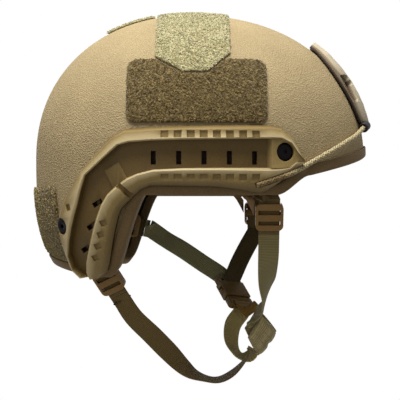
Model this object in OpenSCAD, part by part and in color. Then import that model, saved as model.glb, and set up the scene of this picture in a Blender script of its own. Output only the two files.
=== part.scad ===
// Combat helmet: moulded shell, accessory rails, front mount plate, liner and chin harness
// +X points to the front, +Y to the wearer's left, +Z up, in millimetres
// The origin lies in the middle of the head cavity, at the height of the ear rim

/* [Shell] */
// Length of the bare shell from the brow tip to the back
shell_len = 275; // [268:1:284]
// Width of the bare shell at its widest section
shell_w = 224; // [216:1:232]
// Height of the crown above the ear rim plane
crown_h = 146; // [140:1:152]
// Thickness of the moulded wall
wall = 7.5; // [6:0.5:9]
// How far the widest section lies behind mid length
wide_back = 7; // [4:1:10]
// Height of the widest section above the ear rim plane
waist_z = 25; // [22:1:28]
// Depth of the curve that draws in the lower back
nape_depth = 134; // [128:1:142]
// Roundness of the dome, where 2 is an ellipse
dome_power = 2.15; // [2.05:0.05:2.3]
// Roundness of the lower back
nape_power = 2.7; // [2.5:0.1:3]

/* [Rim] */
// Height of the rim at the middle of the brow
brow_z = 31; // [27:1:35]
// Height of the rim at the temples
temple_z = 12; // [9:1:15]
// Height of the rim over the ears
ear_z = -3; // [-5:1:0]
// Height of the rim behind the ears
flank_z = -66; // [-69:1:-62]
// Height of the rim at the nape
nape_z = -58; // [-61:1:-54]
// Angle from the front where the brow curve ends
temple_angle = 45; // [42:1:48]
// Angle from the front where the ear cut begins
ear_front_angle = 58; // [56:1:60]
// Angle from the front where the ear cut ends
ear_back_angle = 108; // [106:1:110]
// Angle from the front of the lowest part of the rim
flank_angle = 128; // [126:1:132]
// Wall of the rubber edge trim
trim_t = 1.6; // [1.2:0.2:2]
// Height of the legs of the edge trim
trim_leg = 6; // [5:0.5:8]

/* [Rails] */
// Height of the rail's lips above the shell
rail_lip = 11; // [9.5:0.5:12]
// Height of the channel floor above the shell
rail_floor = 4.5; // [3.5:0.5:5.5]
// How far the channel undercuts each lip
rail_undercut = 1.8; // [1:0.2:2.4]
// Pitch of the slots in the channel floor
slot_pitch = 18.3; // [17.5:0.1:18.8]
// Width of a slot
slot_w = 3.8; // [3:0.2:5]
// Height of a slot
slot_h = 10; // [8:0.5:12]
// Pitch of the notches in the lips
notch_pitch = 9.15; // [8.5:0.05:9.3]
// Number of notches in each long lip
notch_count = 8; // [6:1:8]
// Depth of a notch
notch_deep = 2.4; // [1.6:0.2:3]

/* [Fasteners] */
// Diameter of the rail bolts
bolt_d = 4.8; // [4:0.2:5.6]
// Diameter of a rail bolt's round head
head_d = 12.5; // [11:0.5:14]
// Height of a rail bolt's head
head_h = 3.6; // [3:0.2:4.4]
// Diameter of the nut flanges inside the shell
nut_d = 13; // [12:0.5:15]
// Diameter of the mount plate screws
plate_screw_d = 3.8; // [3:0.2:4.4]

/* [Mount plate] */
// Half width of the mount plate at its widest
plate_half = 44; // [41:1:46]
// Height of the mount plate's top edge
plate_top = 117; // [114:1:119]
// Height of the mount plate's lower arms
plate_low = 50; // [48:1:53]
// Thickness of the mount plate at its raised middle
plate_t = 8; // [6.5:0.5:9]
// Thickness of the mount plate at its edges
plate_edge = 3.6; // [3:0.2:4.4]
// Width of the socket in the mount plate
socket_w = 27; // [24:1:30]
// Height of the socket in the mount plate
socket_h = 25; // [22:1:27]

/* [Elastic cords] */
// Diameter of the elastic cords
cord_d = 4; // [3:0.5:4.5]

/* [Loop panels] */
// Thickness of the loop panels
loop_t = 2; // [1.4:0.2:2.6]
// Rear edge of the side and top panels
loop_back = -55; // [-57:1:-52]
// Front edge of the side panels
loop_front = 50; // [47:1:52]
// Rear edge of the top panel
top_back = -34; // [-36:1:-32]
// Front edge of the top panel
top_front = 23; // [21:1:25]

/* [Liner] */
// Thickness of the comfort pads
pad_t = 17; // [13:1:19]
// Thickness of the pads behind the ears
ear_pad_t = 8; // [6:0.5:9]

/* [Harness] */
// Width of the webbing
web_w = 16; // [14:0.5:17]
// Thickness of the webbing
web_t = 1.5; // [1.2:0.1:1.8]
// Clearance between the webbing and the slider bars
web_gap = 0.45; // [0.35:0.05:0.6]
// Width of the chin cup's band
cup_w = 25; // [22:1:28]
// Thickness of the chin cup
cup_t = 5; // [4:0.5:6]
// Length of the female half of the buckle
buckle_l = 20; // [18:1:24]
// Width of the buckle
buckle_w = 25; // [23:0.5:27]
// Thickness of the buckle
buckle_t = 8; // [7:0.5:9]

/* [Dial] */
// Distance from the shell's back to the plane of the racks
rack_inset = 39.5; // [38:0.5:42]
// Height of the dial's axis
dial_z = -36; // [-38:1:-33]
// Module of the rack teeth
gear_m = 1; // [0.9:0.05:1.1]
// Number of teeth on the pinion
pinion_teeth = 12; // [12:2:14]
// Diameter of the knob
knob_d = 34; // [30:1:36]
// Length of the knob
knob_l = 11; // [9:0.5:12]
// Thickness of the rack bands
band_t = 2; // [1.6:0.2:2.4]
// Height of the bands
band_h = 14; // [12:1:16]

/* [Hidden] */
$fn = 48;

// Seats and clearances
seat = 0.3;
curve_seat = 0.5;
hole_gap = 0.6;
run_gap = 0.4;

// Colours
tan_shell = "#a18a69";
tan_rail = "#8f7a55";
tan_plate = "#7a6748";
loop_green = "#8f8a60";
web_green = "#6b6344";
rubber_tan = "#7a6548";
black = "#1b1817";
foam_black = "#242424";

// Shell surface: a superellipsoid with its own curves to the front, back, top and bottom
nose = shell_len / 2 + wide_back;
tail = shell_len / 2 - wide_back;
half_w = shell_w / 2;
dome_h = crown_h - waist_z;
middle = [-wide_back, 0, waist_z];
inside = -wall - seat;

function sgn(v) = v < 0 ? -1 : 1;
function mix(a, b, t) = a + (b - a) * t;
function ease(t) = let(c = min(max(t, 0), 1)) c * c * (3 - 2 * c);
function unit(v) = v / norm(v);
function reach(x) = x < 0 ? tail : nose;
function power_at(z) = z < 0 ? nape_power : dome_power;
function height_at(z) = z < 0 ? nape_depth : dome_h;
function plan_sum(d) = pow(abs(d.x) / reach(d.x), dome_power) + pow(abs(d.y) / half_w, dome_power);
function left_over(d) = 1 - pow(abs(d) / height_at(d), power_at(d));

// Outward direction at a point of the shell
function outward(p) =
    let(d = p - middle, m = power_at(d.z), s = pow(plan_sum(d), m / dome_power - 1), q = dome_power - 1)
    unit([
        s * pow(abs(d.x) / reach(d.x), q) / reach(d.x) * sgn(d.x),
        s * pow(abs(d.y) / half_w, q) / half_w * sgn(d.y),
        pow(abs(d.z) / height_at(d.z), m - 1) / height_at(d.z) * sgn(d.z)
    ]);
function lift(p, h) = p + outward(p) * h;

// Point of the shell straight out from the middle through another point
function project(q) =
    let(d = q - middle, m = power_at(d.z))
    let(f = pow(plan_sum(d), m / dome_power) + pow(abs(d.z) / height_at(d.z), m))
    middle + d / pow(f, 1 / m);

// Point of the shell from its side view, from its front view and from its turn and height
function beside(x, z, side = -1) =
    let(rest = pow(left_over(z - waist_z), dome_power / power_at(z - waist_z)))
    let(used = pow(abs(x + wide_back) / reach(x + wide_back), dome_power))
    [x, side * half_w * pow(max(rest - used, 0), 1 / dome_power), z];
function before(y, z) =
    let(rest = pow(left_over(z - waist_z), dome_power / power_at(z - waist_z)))
    [nose * pow(max(rest - pow(abs(y) / half_w, dome_power), 0), 1 / dome_power) - wide_back, y, z];
function above(x, y) =
    let(rest = 1 - plan_sum([x + wide_back, y, 0]))
    [x, y, waist_z + dome_h * pow(max(rest, 0), 1 / dome_power)];
function plan_r(turn) =
    1 / pow(plan_sum([cos(turn), sin(turn), 0]), 1 / dome_power);
function around(turn, z) =
    let(r = plan_r(turn) * pow(left_over(z - waist_z), 1 / power_at(z - waist_z)))
    [r * cos(turn) - wide_back, r * sin(turn), z];

// Rim height for each turn from the front
function brow_fall(t) = (sqrt(t * t + 0.04) - 0.2) / (sqrt(1.04) - 0.2);
function rim_z(turn) =
    let(a = turn > 180 ? 360 - turn : turn)
    a < temple_angle ? mix(brow_z, temple_z, brow_fall(a / temple_angle))
    : a < ear_front_angle ? mix(temple_z, ear_z, ease((a - temple_angle) / (ear_front_angle - temple_angle)))
    : a < ear_back_angle ? ear_z
    : a < flank_angle ? mix(ear_z, flank_z,
        ease(pow((a - ear_back_angle) / (flank_angle - ear_back_angle), 0.75)))
    : mix(flank_z, nape_z, ease((a - flank_angle) / (180 - flank_angle)));

function span(a, b, n) = [for (i = [0:n]) mix(a, b, i / n)];
function cut_last(list) = [for (i = [0:len(list) - 2]) list[i]];
function backwards(list) = [for (i = [len(list) - 1:-1:0]) list[i]];
half_turns = concat(
    cut_last(span(0, temple_angle, 8)), cut_last(span(temple_angle, ear_front_angle, 5)),
    cut_last(span(ear_front_angle, ear_back_angle, 8)), cut_last(span(ear_back_angle, flank_angle, 9)),
    span(flank_angle, 180, 8));
turns = concat(half_turns, [for (i = [len(half_turns) - 2:-1:1]) 360 - half_turns[i]]);

// Point of a shell meridian: tilt runs from below zero at the lower back to 90 at the crown
function tilt_of(z) =
    let(d = z - waist_z, t = asin(pow(abs(d) / height_at(d), power_at(d) / 2)))
    d < 0 ? -t : t;
function meridian(turn, tilt) =
    let(m = tilt < 0 ? nape_power : dome_power, h = tilt < 0 ? -nape_depth : dome_h)
    let(r = plan_r(turn) * pow(cos(tilt), 2 / m))
    [r * cos(turn) - wide_back, r * sin(turn), waist_z + h * pow(sin(abs(tilt)), 2 / m)];

// Sides of a solid that runs through rings of points, numbered from a first point
// The rings run anticlockwise for someone who looks at the solid from its first end
function walls(n, k, first) =
    [for (j = [0:k - 2]) for (i = [0:n - 1]) for (half = [0, 1])
        let(a = first + j * n + i, b = first + j * n + (i + 1) % n)
        half == 0 ? [a, b, b + n] : [a, b + n, a + n]];
// Solid through rings that draws in to a point at both ends
module pod(rings, first, last) {
    n = len(rings[0]);
    k = len(rings);
    faces = concat(
        [for (i = [0:n - 1]) [0, 1 + (i + 1) % n, 1 + i]],
        walls(n, k, 1),
        [for (i = [0:n - 1]) [1 + k * n, 1 + (k - 1) * n + i, 1 + (k - 1) * n + (i + 1) % n]]);
    polyhedron(points = concat([first], [for (r = rings) each r], [last]), faces = faces);
}
// Solid through rings whose ends are flat across: point i of a ring faces its point n - 1 - i
module bar(rings) {
    n = len(rings[0]);
    k = len(rings);
    z = (k - 1) * n;
    faces = concat(
        [for (i = [0:n / 2 - 2]) each [[i, n - 1 - i, n - 2 - i], [i, n - 2 - i, i + 1]]],
        walls(n, k, 0),
        [for (i = [0:n / 2 - 2]) each [[z + i, z + i + 1, z + n - 2 - i], [z + i, z + n - 2 - i, z + n - 1 - i]]]);
    polyhedron(points = [for (r = rings) each r], faces = faces);
}
// Sheet that follows the shell between two heights above it
module sheet(rows, low, high) {
    bar([for (row = rows) concat(
        [for (p = row) lift(p, high)], backwards([for (p = row) lift(p, low)]))]);
}

// Smooth curve through points, for lists of any length of vector
function bend(a, b, c, d, t) =
    0.5 * (2 * b + (c - a) * t + (2 * a - 5 * b + 4 * c - d) * t * t + (3 * b - a - 3 * c + d) * t * t * t);
function smooth(p, k) = concat(
    [for (i = [0:len(p) - 2]) for (j = [0:k - 1])
        bend(p[max(i - 1, 0)], p[i], p[i + 1], p[min(i + 2, len(p) - 1)], j / k)],
    [p[len(p) - 1]]);
function place(v) = [v[0], v[1], v[2]];
function broad(v) = [v[3], v[4], v[5]];
function heading(path, i) =
    unit(place(path[min(i + 1, len(path) - 1)]) - place(path[max(i - 1, 0)]));
function square_to(v, t) = unit(v - t * (v * t));

// Flat webbing: each point of the path has its place and the direction of its width
module webbing(path, w = web_w, t = web_t, round = 0.25) {
    corner = t * round;
    outline = [[-w / 2, t / 2 - corner], [corner - w / 2, t / 2], [w / 2 - corner, t / 2],
        [w / 2, t / 2 - corner], [w / 2, corner - t / 2], [w / 2 - corner, -t / 2],
        [corner - w / 2, -t / 2], [-w / 2, corner - t / 2]];
    bar([for (i = [0:len(path) - 1])
        let(along = heading(path, i), across = square_to(broad(path[i]), along))
        [for (q = outline) place(path[i]) + across * q.x + cross(along, across) * q.y]]);
}
// Round cord along a path of points
module cord(path, d, sides = 8) {
    bar([for (i = [0:len(path) - 1])
        let(along = heading(path, i), up = square_to([0, 0.1, 1], along), out = cross(along, up))
        [for (k = [0:sides - 1]) let(a = -360 * k / sides)
            path[i] + (up * cos(a) + out * sin(a)) * d / 2]]);
}
// Stands children on a point, with their z axis outwards and their y axis as near up as can be
module stand(p, out, up = [0, 0, 1]) {
    n = unit(out);
    v = square_to(up, n);
    u = cross(v, n);
    multmatrix([[u.x, v.x, n.x, p.x], [u.y, v.y, n.y, p.y], [u.z, v.z, n.z, p.z], [0, 0, 0, 1]])
        children();
}
module stand_on_shell(p, up = [0, 0, 1]) {
    stand(p, outward(p), up) children();
}
module rounded(w, h, r) {
    square([w - 2 * r, h], center = true);
    square([w, h - 2 * r], center = true);
    for (x = [-1, 1])
        for (y = [-1, 1])
            translate([x * (w / 2 - r), y * (h / 2 - r)])
                circle(r = r);
}

// Places of the fasteners
front_bolt = beside(60, 27);
rear_bolt = beside(-100, -27);
function other_side(p) = [p.x, -p.y, p.z];
plate_bolt_top = before(0, plate_top - 8);
plate_bolts = [plate_bolt_top, before(-24, 66), before(24, 66)];
rail_bolts = [front_bolt, rear_bolt, other_side(front_bolt), other_side(rear_bolt)];

// Rows of the shell from the crown to the rim, the last one a trim's height above the rim
shell_rows = 14;
row_stops = concat([for (j = [1:shell_rows]) j / shell_rows * 0.965], [1]);
module shell_body() {
    outer = [for (t = row_stops) [for (a = turns) meridian(a, mix(90, tilt_of(rim_z(a)), t))]];
    inner = backwards([for (row = outer) [for (p = row) lift(p, -wall)]]);
    crown = [-wide_back, 0, crown_h];
    pod(concat(outer, inner), crown, crown - [0, 0, wall]);
}
module shell() {
    color(tan_shell)
        difference() {
            shell_body();
            for (p = rail_bolts)
                stand_on_shell(p)
                    translate([0, 0, -wall - 5])
                        cylinder(d = bolt_d + hole_gap, h = wall + 10);
            for (p = plate_bolts)
                stand_on_shell(p)
                    translate([0, 0, -wall - 5])
                        cylinder(d = plate_screw_d + hole_gap, h = wall + 10);
        }
}

trim_gap = 0.2;
inner_trim_gap = 0.55;
// Rubber trim: a U section carried round the rim, square to the rim's own line
rim = [for (a = turns) around(a, rim_z(a))];
module edge_trim() {
    n = len(rim);
    gap = trim_gap;
    leg_in = -wall - inner_trim_gap;
    section = [[gap, gap], [gap, -trim_leg], [gap + trim_t * 0.5, -trim_leg - 0.4],
        [gap + trim_t, -trim_leg + 0.6], [gap + trim_t, 0.4], [gap + trim_t * 0.4, gap + trim_t],
        [leg_in - trim_t * 0.4, gap + trim_t], [leg_in - trim_t, 0.4],
        [leg_in - trim_t, -trim_leg + 0.6], [leg_in - trim_t * 0.5, -trim_leg - 0.4],
        [leg_in, -trim_leg], [leg_in, gap]];
    rings = [for (i = [0:n - 1])
        let(along = unit(rim[(i + 1) % n] - rim[(i + n - 1) % n]), out = outward(rim[i]))
        let(edge = unit(cross(out, along)), down = edge.z < 0 ? edge : -edge)
        [for (q = section) rim[i] + out * q.x + down * q.y]];
    k = len(section);
    faces = [for (j = [0:n - 1]) for (i = [0:k - 1]) for (half = [0, 1])
        let(a = j * k + i, b = j * k + (i + 1) % k, c = ((j + 1) % n) * k + (i + 1) % k)
        let(d = ((j + 1) % n) * k + i)
        half == 0 ? [a, c, b] : [a, d, c]];
    color(rubber_tan)
        polyhedron(points = [for (r = rings) each r], faces = faces);
}

// Accessory rail: lines across the rail from front to back, in its side view
// Each has its outer edge, the two edges of the channel and its inner edge, as x and z
// The last value is 1 where the channel runs and 0 where the rail is solid
rail_lines = [
    [74, 21.5, 74, 20.9, 74.2, 20.2, 74.4, 19.4, 0],
    [70, 30, 69, 26, 68, 20, 66, 12.5, 0],
    [65, 38.5, 64, 33, 63, 16, 60, 7, 0],
    [58, 45, 57, 36, 57, 15.2, 54, 2.4, 0],
    [50.5, 46.3, 50.5, 36, 50.5, 15.2, 47, -1.8, 0],
    [48, 46.3, 48, 36, 48, 15.2, 43, -3, 1],
    [30, 46.1, 30, 35.6, 30, 15.1, 30, -0.6, 1],
    [12, 45.8, 12, 35.3, 12, 15, 12, 1.6, 1],
    [-12, 45.3, -12, 35, -12, 14.8, -12, 2.2, 1],
    [-36, 44.6, -34, 34.4, -33, 13.8, -36, 2.4, 1],
    [-55, 43.5, -50, 33.4, -44, 11, -43, -0.5, 1],
    [-65, 37.5, -57.5, 31.5, -51, 8, -49, -6, 1],
    [-76, 26, -69.5, 20.8, -58, 3, -54, -11, 1],
    [-87, 14, -81, 10, -65, -3.5, -57.5, -15, 1],
    [-95, 2, -84.5, -1, -69.5, -11, -59.5, -20, 1],
    [-102, -9, -87, -11, -73, -20, -61, -26, 1],
    [-106, -20, -89.8, -20, -75.5, -28, -62.5, -32, 1],
    [-106.5, -28, -92, -28.5, -77.5, -36, -64, -39, 1],
    [-104, -37, -94, -38, -79.5, -44, -65.5, -47, 1],
    [-98.5, -48, -95.2, -48.6, -81.5, -52, -67, -55, 1],
    [-94.5, -58, -92.4, -58, -82, -59.5, -69, -61, 1],
    [-88, -63.5, -86.5, -63.6, -80, -64, -73, -64, 1]
];
// Width of the step under the rail's inner edge that clears the edge trim
trim_shelf = 8;
// Height below which the whole foot of the rail stands over the trim
rail_foot_z = -50;
function line_point(line, k) = [line[2 * k], line[2 * k + 1]];
function on_side(q, h) = lift(beside(q.x, q.y), h);
function rail_ring(line) =
    let(a = line_point(line, 0), b = line_point(line, 1), c = line_point(line, 2), d = line_point(line, 3))
    let(floor_h = line[8] == 1 ? rail_floor : rail_lip - 1.2)
    let(under = min(rail_undercut, norm(a - b) * 0.3, norm(c - d) * 0.3) * line[8])
    let(b2 = b + unit(a - b) * under, c2 = c + unit(d - c) * under)
    let(over_trim = trim_gap + trim_t + curve_seat, shelf = min(trim_shelf / norm(a - d), 0.3))
    let(base_h = a.y < rail_foot_z ? over_trim : curve_seat)
    [
        on_side(d, over_trim), on_side(mix(d, a, shelf), over_trim), on_side(mix(d, a, 0.6), base_h),
        on_side(a, base_h), on_side(a, rail_lip * 0.4), on_side(mix(a, b, 0.3), rail_lip - 1.4),
        on_side(mix(a, b, 0.9), rail_lip), on_side(b, rail_lip - 1), on_side(b2, floor_h + 1),
        on_side(b2, floor_h), on_side(mix(b2, c2, 0.5), floor_h), on_side(c2, floor_h),
        on_side(c2, floor_h + 1), on_side(c, rail_lip - 1), on_side(mix(c, d, 0.12), rail_lip),
        on_side(mix(c, d, 0.75), rail_lip - 2), on_side(d, rail_lip * 0.45)
    ];
module rail_body() {
    rings = [for (line = rail_lines) rail_ring(line)];
    n = len(rings[0]);
    k = len(rings);
    faces = concat([[for (i = [n - 1:-1:0]) i]], walls(n, k, 0), [[for (i = [0:n - 1]) (k - 1) * n + i]]);
    polyhedron(points = [for (r = rings) each r], faces = faces);
}
// Rectangular cut that stands on the shell, from a given height outwards
module side_cut(x, z, w, h, from_h, turn = 0) {
    stand_on_shell(beside(x, z))
        rotate([0, 0, turn])
            translate([-w / 2, -h / 2, from_h])
                cube([w, h, 20]);
}
first_slot = 39.4;
first_notch = 39;
rear_slots = [[-75, -10.5], [-79.8, -27.5], [-85, -44.5]];
rear_notches = [[-68.2, -24], [-70.4, -32.2], [-72.6, -40.4], [-74.6, -48.6]];
module rail() {
    difference() {
        union() {
            rail_body();
            stand_on_shell(beside(-60, 9))
                rotate([0, 0, 28])
                    translate([-6.5, -8.5, rail_floor - 1.2])
                        cube([13, 17, 2.2]);
        }
        for (k = [0:4])
            side_cut(first_slot - k * slot_pitch, 22.6, slot_w, slot_h, -3);
        for (p = rear_slots)
            side_cut(p.x, p.y, slot_h * 0.9, slot_w, -3, 27);
        for (k = [0:notch_count - 1]) {
            side_cut(first_notch - k * notch_pitch, 39, 5.8, 5.4, rail_lip - notch_deep);
            side_cut(first_notch - k * notch_pitch, 8.4, 5.8, 4.8, rail_lip - notch_deep);
        }
        for (p = rear_notches)
            side_cut(p.x, p.y, 5.4, 4.6, rail_lip - notch_deep, 17);
        side_cut(-93.8, -13, 4.4, 5, rail_lip - notch_deep, 15);
        side_cut(-49.5, -4.6, 24, 4.6, 5, -42);
        stand_on_shell(beside(groove_at.x, groove_at.y))
            rotate([0, 0, groove_slope])
                translate([-groove_back, -groove_w / 2, groove_floor])
                    cube([groove_back + groove_front, groove_w, 20]);
        stand_on_shell(front_bolt) {
            translate([0, 0, rail_floor])
                cylinder(d = head_d + 1.6, h = 20);
            translate([0, 0, -4])
                cylinder(d = bolt_d + hole_gap, h = 20);
        }
        stand_on_shell(rear_bolt) {
            translate([0, 0, rail_floor])
                cylinder(d = head_d + 0.8, h = 20);
            translate([0, 0, -4])
                cylinder(d = bolt_d + hole_gap, h = 20);
        }
    }
}
module right_rail() {
    color(tan_rail)
        rail();
}
module left_rail() {
    color(tan_rail)
        mirror([0, 1, 0])
            rail();
}

// Bolts with a domed head and a driver recess, and their nuts inside the shell
// Flat webbing stands off the curved wall by this much more
flat_clear = 1.1;
front_nut_seat = -wall - web_t - 3 * seat;
rear_nut_seat = front_nut_seat - flat_clear - 0.8;
nut_t = 2.2;
module rail_bolt(p, nut_seat) {
    stand_on_shell(p)
        difference() {
            union() {
                translate([0, 0, nut_seat - nut_t])
                    cylinder(d = bolt_d, h = rail_floor + seat - nut_seat + nut_t + 0.5);
                translate([0, 0, rail_floor + seat])
                    rotate_extrude()
                        polygon(concat([[0, 0], [head_d / 2, 0]],
                            [for (a = [0:15:90]) [head_d / 2 - 1.6 * (1 - cos(a)) - head_d * 0.3 * a / 90 * sin(a),
                                head_h * 0.4 + head_h * 0.6 * sin(a)]], [[0, head_h]]));
            }
            translate([0, 0, rail_floor + seat + head_h - 1.8])
                cylinder(d = 4.6, h = 4, $fn = 6);
        }
}
module rail_nut(p, nut_seat) {
    stand_on_shell(p)
        translate([0, 0, nut_seat - nut_t])
            difference() {
                cylinder(d = nut_d, h = nut_t);
                translate([0, 0, -1])
                    cylinder(d = bolt_d + run_gap, h = nut_t + 2);
            }
}
module front_rail_bolts() {
    color(black) {
        rail_bolt(front_bolt, front_nut_seat);
        rail_bolt(other_side(front_bolt), front_nut_seat);
    }
}
module rear_rail_bolts() {
    color(black) {
        rail_bolt(rear_bolt, rear_nut_seat);
        rail_bolt(other_side(rear_bolt), rear_nut_seat);
    }
}
module front_rail_nuts() {
    color("#3a3a3a") {
        rail_nut(front_bolt, front_nut_seat);
        rail_nut(other_side(front_bolt), front_nut_seat);
    }
}
module rear_rail_nuts() {
    color("#3a3a3a") {
        rail_nut(rear_bolt, rear_nut_seat);
        rail_nut(other_side(rear_bolt), rear_nut_seat);
    }
}

// Front mount plate: half width at each height, on a thin gasket
gasket_t = 1;
plate_base = gasket_t + 2 * seat;
plate_rows = [
    [0, 0.4], [0.06, 0.52], [0.16, 0.78], [0.3, 0.93], [0.46, 1], [0.6, 1], [0.72, 0.97],
    [0.84, 0.93], [0.94, 0.86], [1, 0.74]
];
function plate_z(t) = mix(plate_top, plate_low, t);
function gasket_row(t, half) = [for (y = span(-half, half, 6)) before(y, plate_z(t))];
module mount_plate_body() {
    bar([for (r = plate_rows)
        let(half = plate_half * r[1], z = plate_z(r[0]))
        let(stops = concat([-half], span(-half * 0.72, half * 0.72, 4), [half]))
        concat(
            [for (y = stops) lift(before(y, z), abs(y) == half ? plate_edge : plate_t)],
            [for (y = backwards(stops)) lift(before(y, z), plate_base)])]);
}
socket_z = 86;
wing_hole_at = [32, 84];
wing_hole_d = 5;
bar_z = socket_z - socket_h / 2;
module plate_window(y0, y1, z0, z1, from_h) {
    stand_on_shell(before((y0 + y1) / 2, (z0 + z1) / 2))
        translate([-(y1 - y0) / 2, -(z1 - z0) / 2, from_h])
            cube([y1 - y0, z1 - z0, 30]);
}
module mount_plate() {
    color(tan_plate)
        difference() {
            mount_plate_body();
            stand_on_shell(before(0, socket_z)) {
                translate([-socket_w / 2, -socket_h / 2, plate_base + 2.2])
                    cube([socket_w, socket_h, 30]);
                translate([-socket_w / 2 - 2.5, -socket_h / 2 + 3, plate_base + 2.2])
                    cube([socket_w + 5, socket_h - 11, 30]);
            }
            plate_window(-17, 17, plate_low - 8, bar_z - 5, -20);
            for (p = plate_bolts)
                stand_on_shell(p) {
                    translate([0, 0, plate_base + 2])
                        cylinder(d = plate_screw_d * 2 + 1.2, h = 30);
                    translate([0, 0, -2])
                        cylinder(d = plate_screw_d + hole_gap, h = 30);
                }
            for (y = [-1, 1])
                stand_on_shell(before(y * wing_hole_at[0], wing_hole_at[1]))
                    translate([0, 0, -2])
                        cylinder(d = wing_hole_d, h = 30);
            for (s = [0, 1])
                mirror([0, s, 0])
                    at_hook(seat)
                        cylinder(d = hook_d + 2 * seat, h = hook_l + 12);
        }
}
module mount_gasket() {
    rows = [for (r = plate_rows) if (r[0] <= 0.84)
        gasket_row(max(r[0], 0.03), plate_half * r[1] - 3)];
    color("#2d2822")
        difference() {
            sheet(rows, seat, seat + gasket_t);
            plate_window(-17, 17, plate_low - 8, bar_z - 5, -20);
            for (p = plate_bolts)
                stand_on_shell(p)
                    translate([0, 0, -3])
                        cylinder(d = plate_screw_d + hole_gap, h = 10);
        }
}
plate_nut_t = 2.2;
plate_nut_seat = inside - 0.5;
module mount_screws() {
    color(black)
        for (p = plate_bolts)
            stand_on_shell(p)
                difference() {
                    union() {
                        translate([0, 0, plate_nut_seat - plate_nut_t])
                            cylinder(d = plate_screw_d, h = plate_base + 3 + plate_nut_t - plate_nut_seat);
                        translate([0, 0, plate_base + 2 + seat])
                            cylinder(d1 = plate_screw_d * 2, d2 = plate_screw_d * 1.6, h = 2.4);
                    }
                    translate([0, 0, plate_base + 3.2])
                        cylinder(d = 2.6, h = 4, $fn = 6);
                }
}
module mount_nuts() {
    color("#3a3a3a")
        for (p = plate_bolts)
            stand_on_shell(p)
                translate([0, 0, plate_nut_seat - plate_nut_t])
                    difference() {
                        cylinder(d = plate_screw_d * 2.6, h = plate_nut_t);
                        translate([0, 0, -1])
                            cylinder(d = plate_screw_d + run_gap, h = plate_nut_t + 2);
                    }
}

// Groove of the rail that holds an elastic cord: its middle, its slope and its floor
groove_at = [52, 6.8];
groove_slope = 18.5;
groove_floor = rail_lip - 4.2;
groove_w = cord_d + 0.8;
groove_back = 15;
groove_front = 24;
function groove_point(s) =
    let(p = beside(groove_at.x, groove_at.y), n = outward(p), v = square_to([0, 0, 1], n), u = cross(v, n))
    p + n * (groove_floor + cord_d / 2 + seat) + (u * cos(groove_slope) + v * sin(groove_slope)) * s;
// Elastic cords: from a hook on the plate's lower arm to the grooves of the rail
cord_start_y = -plate_half * 0.74 - 4;
cord_route = concat(
    [lift(before(cord_start_y - 1.5, plate_low - 1), 4.2)],
    [for (q = [[121, 42], [113, 37.2], [104, 31.8], [94, 26.2], [84, 20.6]]) lift(beside(q[0], q[1]), 3)],
    [for (s = [15, 5, -5, -14]) groove_point(s)]);
module elastic_cord() {
    cord(smooth(cord_route, 3), cord_d);
}
module right_elastic_cord() {
    color("#a8966c")
        elastic_cord();
}
module left_elastic_cord() {
    color("#a8966c")
        mirror([0, 1, 0])
            elastic_cord();
}
// Rubber hook: a ring that holds the cord's end in a pocket of the plate's lower arm
hook_d = cord_d + 4;
hook_l = 7.2;
module at_hook(grow = 0) {
    along = unit(cord_route[1] - cord_route[0]);
    stand(cord_route[0] - along * (hook_l + seat + grow), along)
        children();
}
module cord_hook() {
    at_hook()
        difference() {
            cylinder(d = hook_d, h = hook_l);
            translate([0, 0, hook_l - 4])
                cylinder(d = cord_d + run_gap, h = 6);
        }
}
module cord_hooks() {
    color(black) {
        cord_hook();
        mirror([0, 1, 0])
            cord_hook();
    }
}

// Loop panels: soft sheets on the shell, with rounded corners
function corner_cut(d, r) = d >= r ? 0 : r - sqrt(max(r * r - (r - d) * (r - d), 0));
loop_low = curve_seat;
loop_high = curve_seat + loop_t;
panel_corner = 7;
side_panel_low = 49;
side_panel_high = 98;
top_panel_edge = [[top_back, 100], [top_back + 8, 95], [top_back + 21, 88], [top_front - 17, 88],
    [top_front - 7, 97], [top_front, 103]];
panel_gap = 1.6;
function side_panel_top(x) =
    x < top_back - 4 || x > top_front + 2 ? side_panel_high
    : min(side_panel_high, lookup(x, top_panel_edge) - panel_gap);
module side_panel() {
    columns = [0, 0.8, 3, 7, 14, 20.6, 28, 36, 42, 48, 57, 64, 71, 77.5, 85, 93, 98, 102, 104.2, 105];
    scale_x = (loop_front - loop_back) / 105;
    sheet([for (c = columns)
        let(x = loop_back + c * scale_x, d = min(x - loop_back, loop_front - x))
        let(low = side_panel_low + corner_cut(d, panel_corner))
        let(high = side_panel_top(x) - corner_cut(d, panel_corner))
        [for (z = span(low, high, 5)) beside(x, z)]], loop_low, loop_high);
}
module right_loop_panel() {
    color(loop_green)
        side_panel();
}
module left_loop_panel() {
    color(loop_green)
        mirror([0, 1, 0])
            side_panel();
}
// Point of the shell on the cross-section at x, by its angle from the side
function arch(x, angle) =
    let(k = pow(1 - pow(abs(x + wide_back) / reach(x + wide_back), dome_power), 1 / dome_power))
    [x, -half_w * k * sgn(cos(angle)) * pow(abs(cos(angle)), 2 / dome_power),
        waist_z + dome_h * k * pow(sin(angle), 2 / dome_power)];
function arch_angle(x, z) =
    let(k = pow(1 - pow(abs(x + wide_back) / reach(x + wide_back), dome_power), 1 / dome_power))
    asin(min(1, pow((z - waist_z) / (dome_h * k), dome_power / 2)));
module top_loop_panel() {
    columns = [for (t = [0, 0.07, 0.14, 0.26, 0.37, 0.5, 0.61, 0.7, 0.79, 0.88, 1])
        mix(top_back, top_front, t)];
    color(loop_green)
        sheet([for (x = columns)
            let(a = arch_angle(x, lookup(x, top_panel_edge)))
            [for (angle = span(a, 180 - a, 15)) arch(x, angle)]], loop_low, loop_high);
}
crown_panel = [-76, -37.5, 27];
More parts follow.
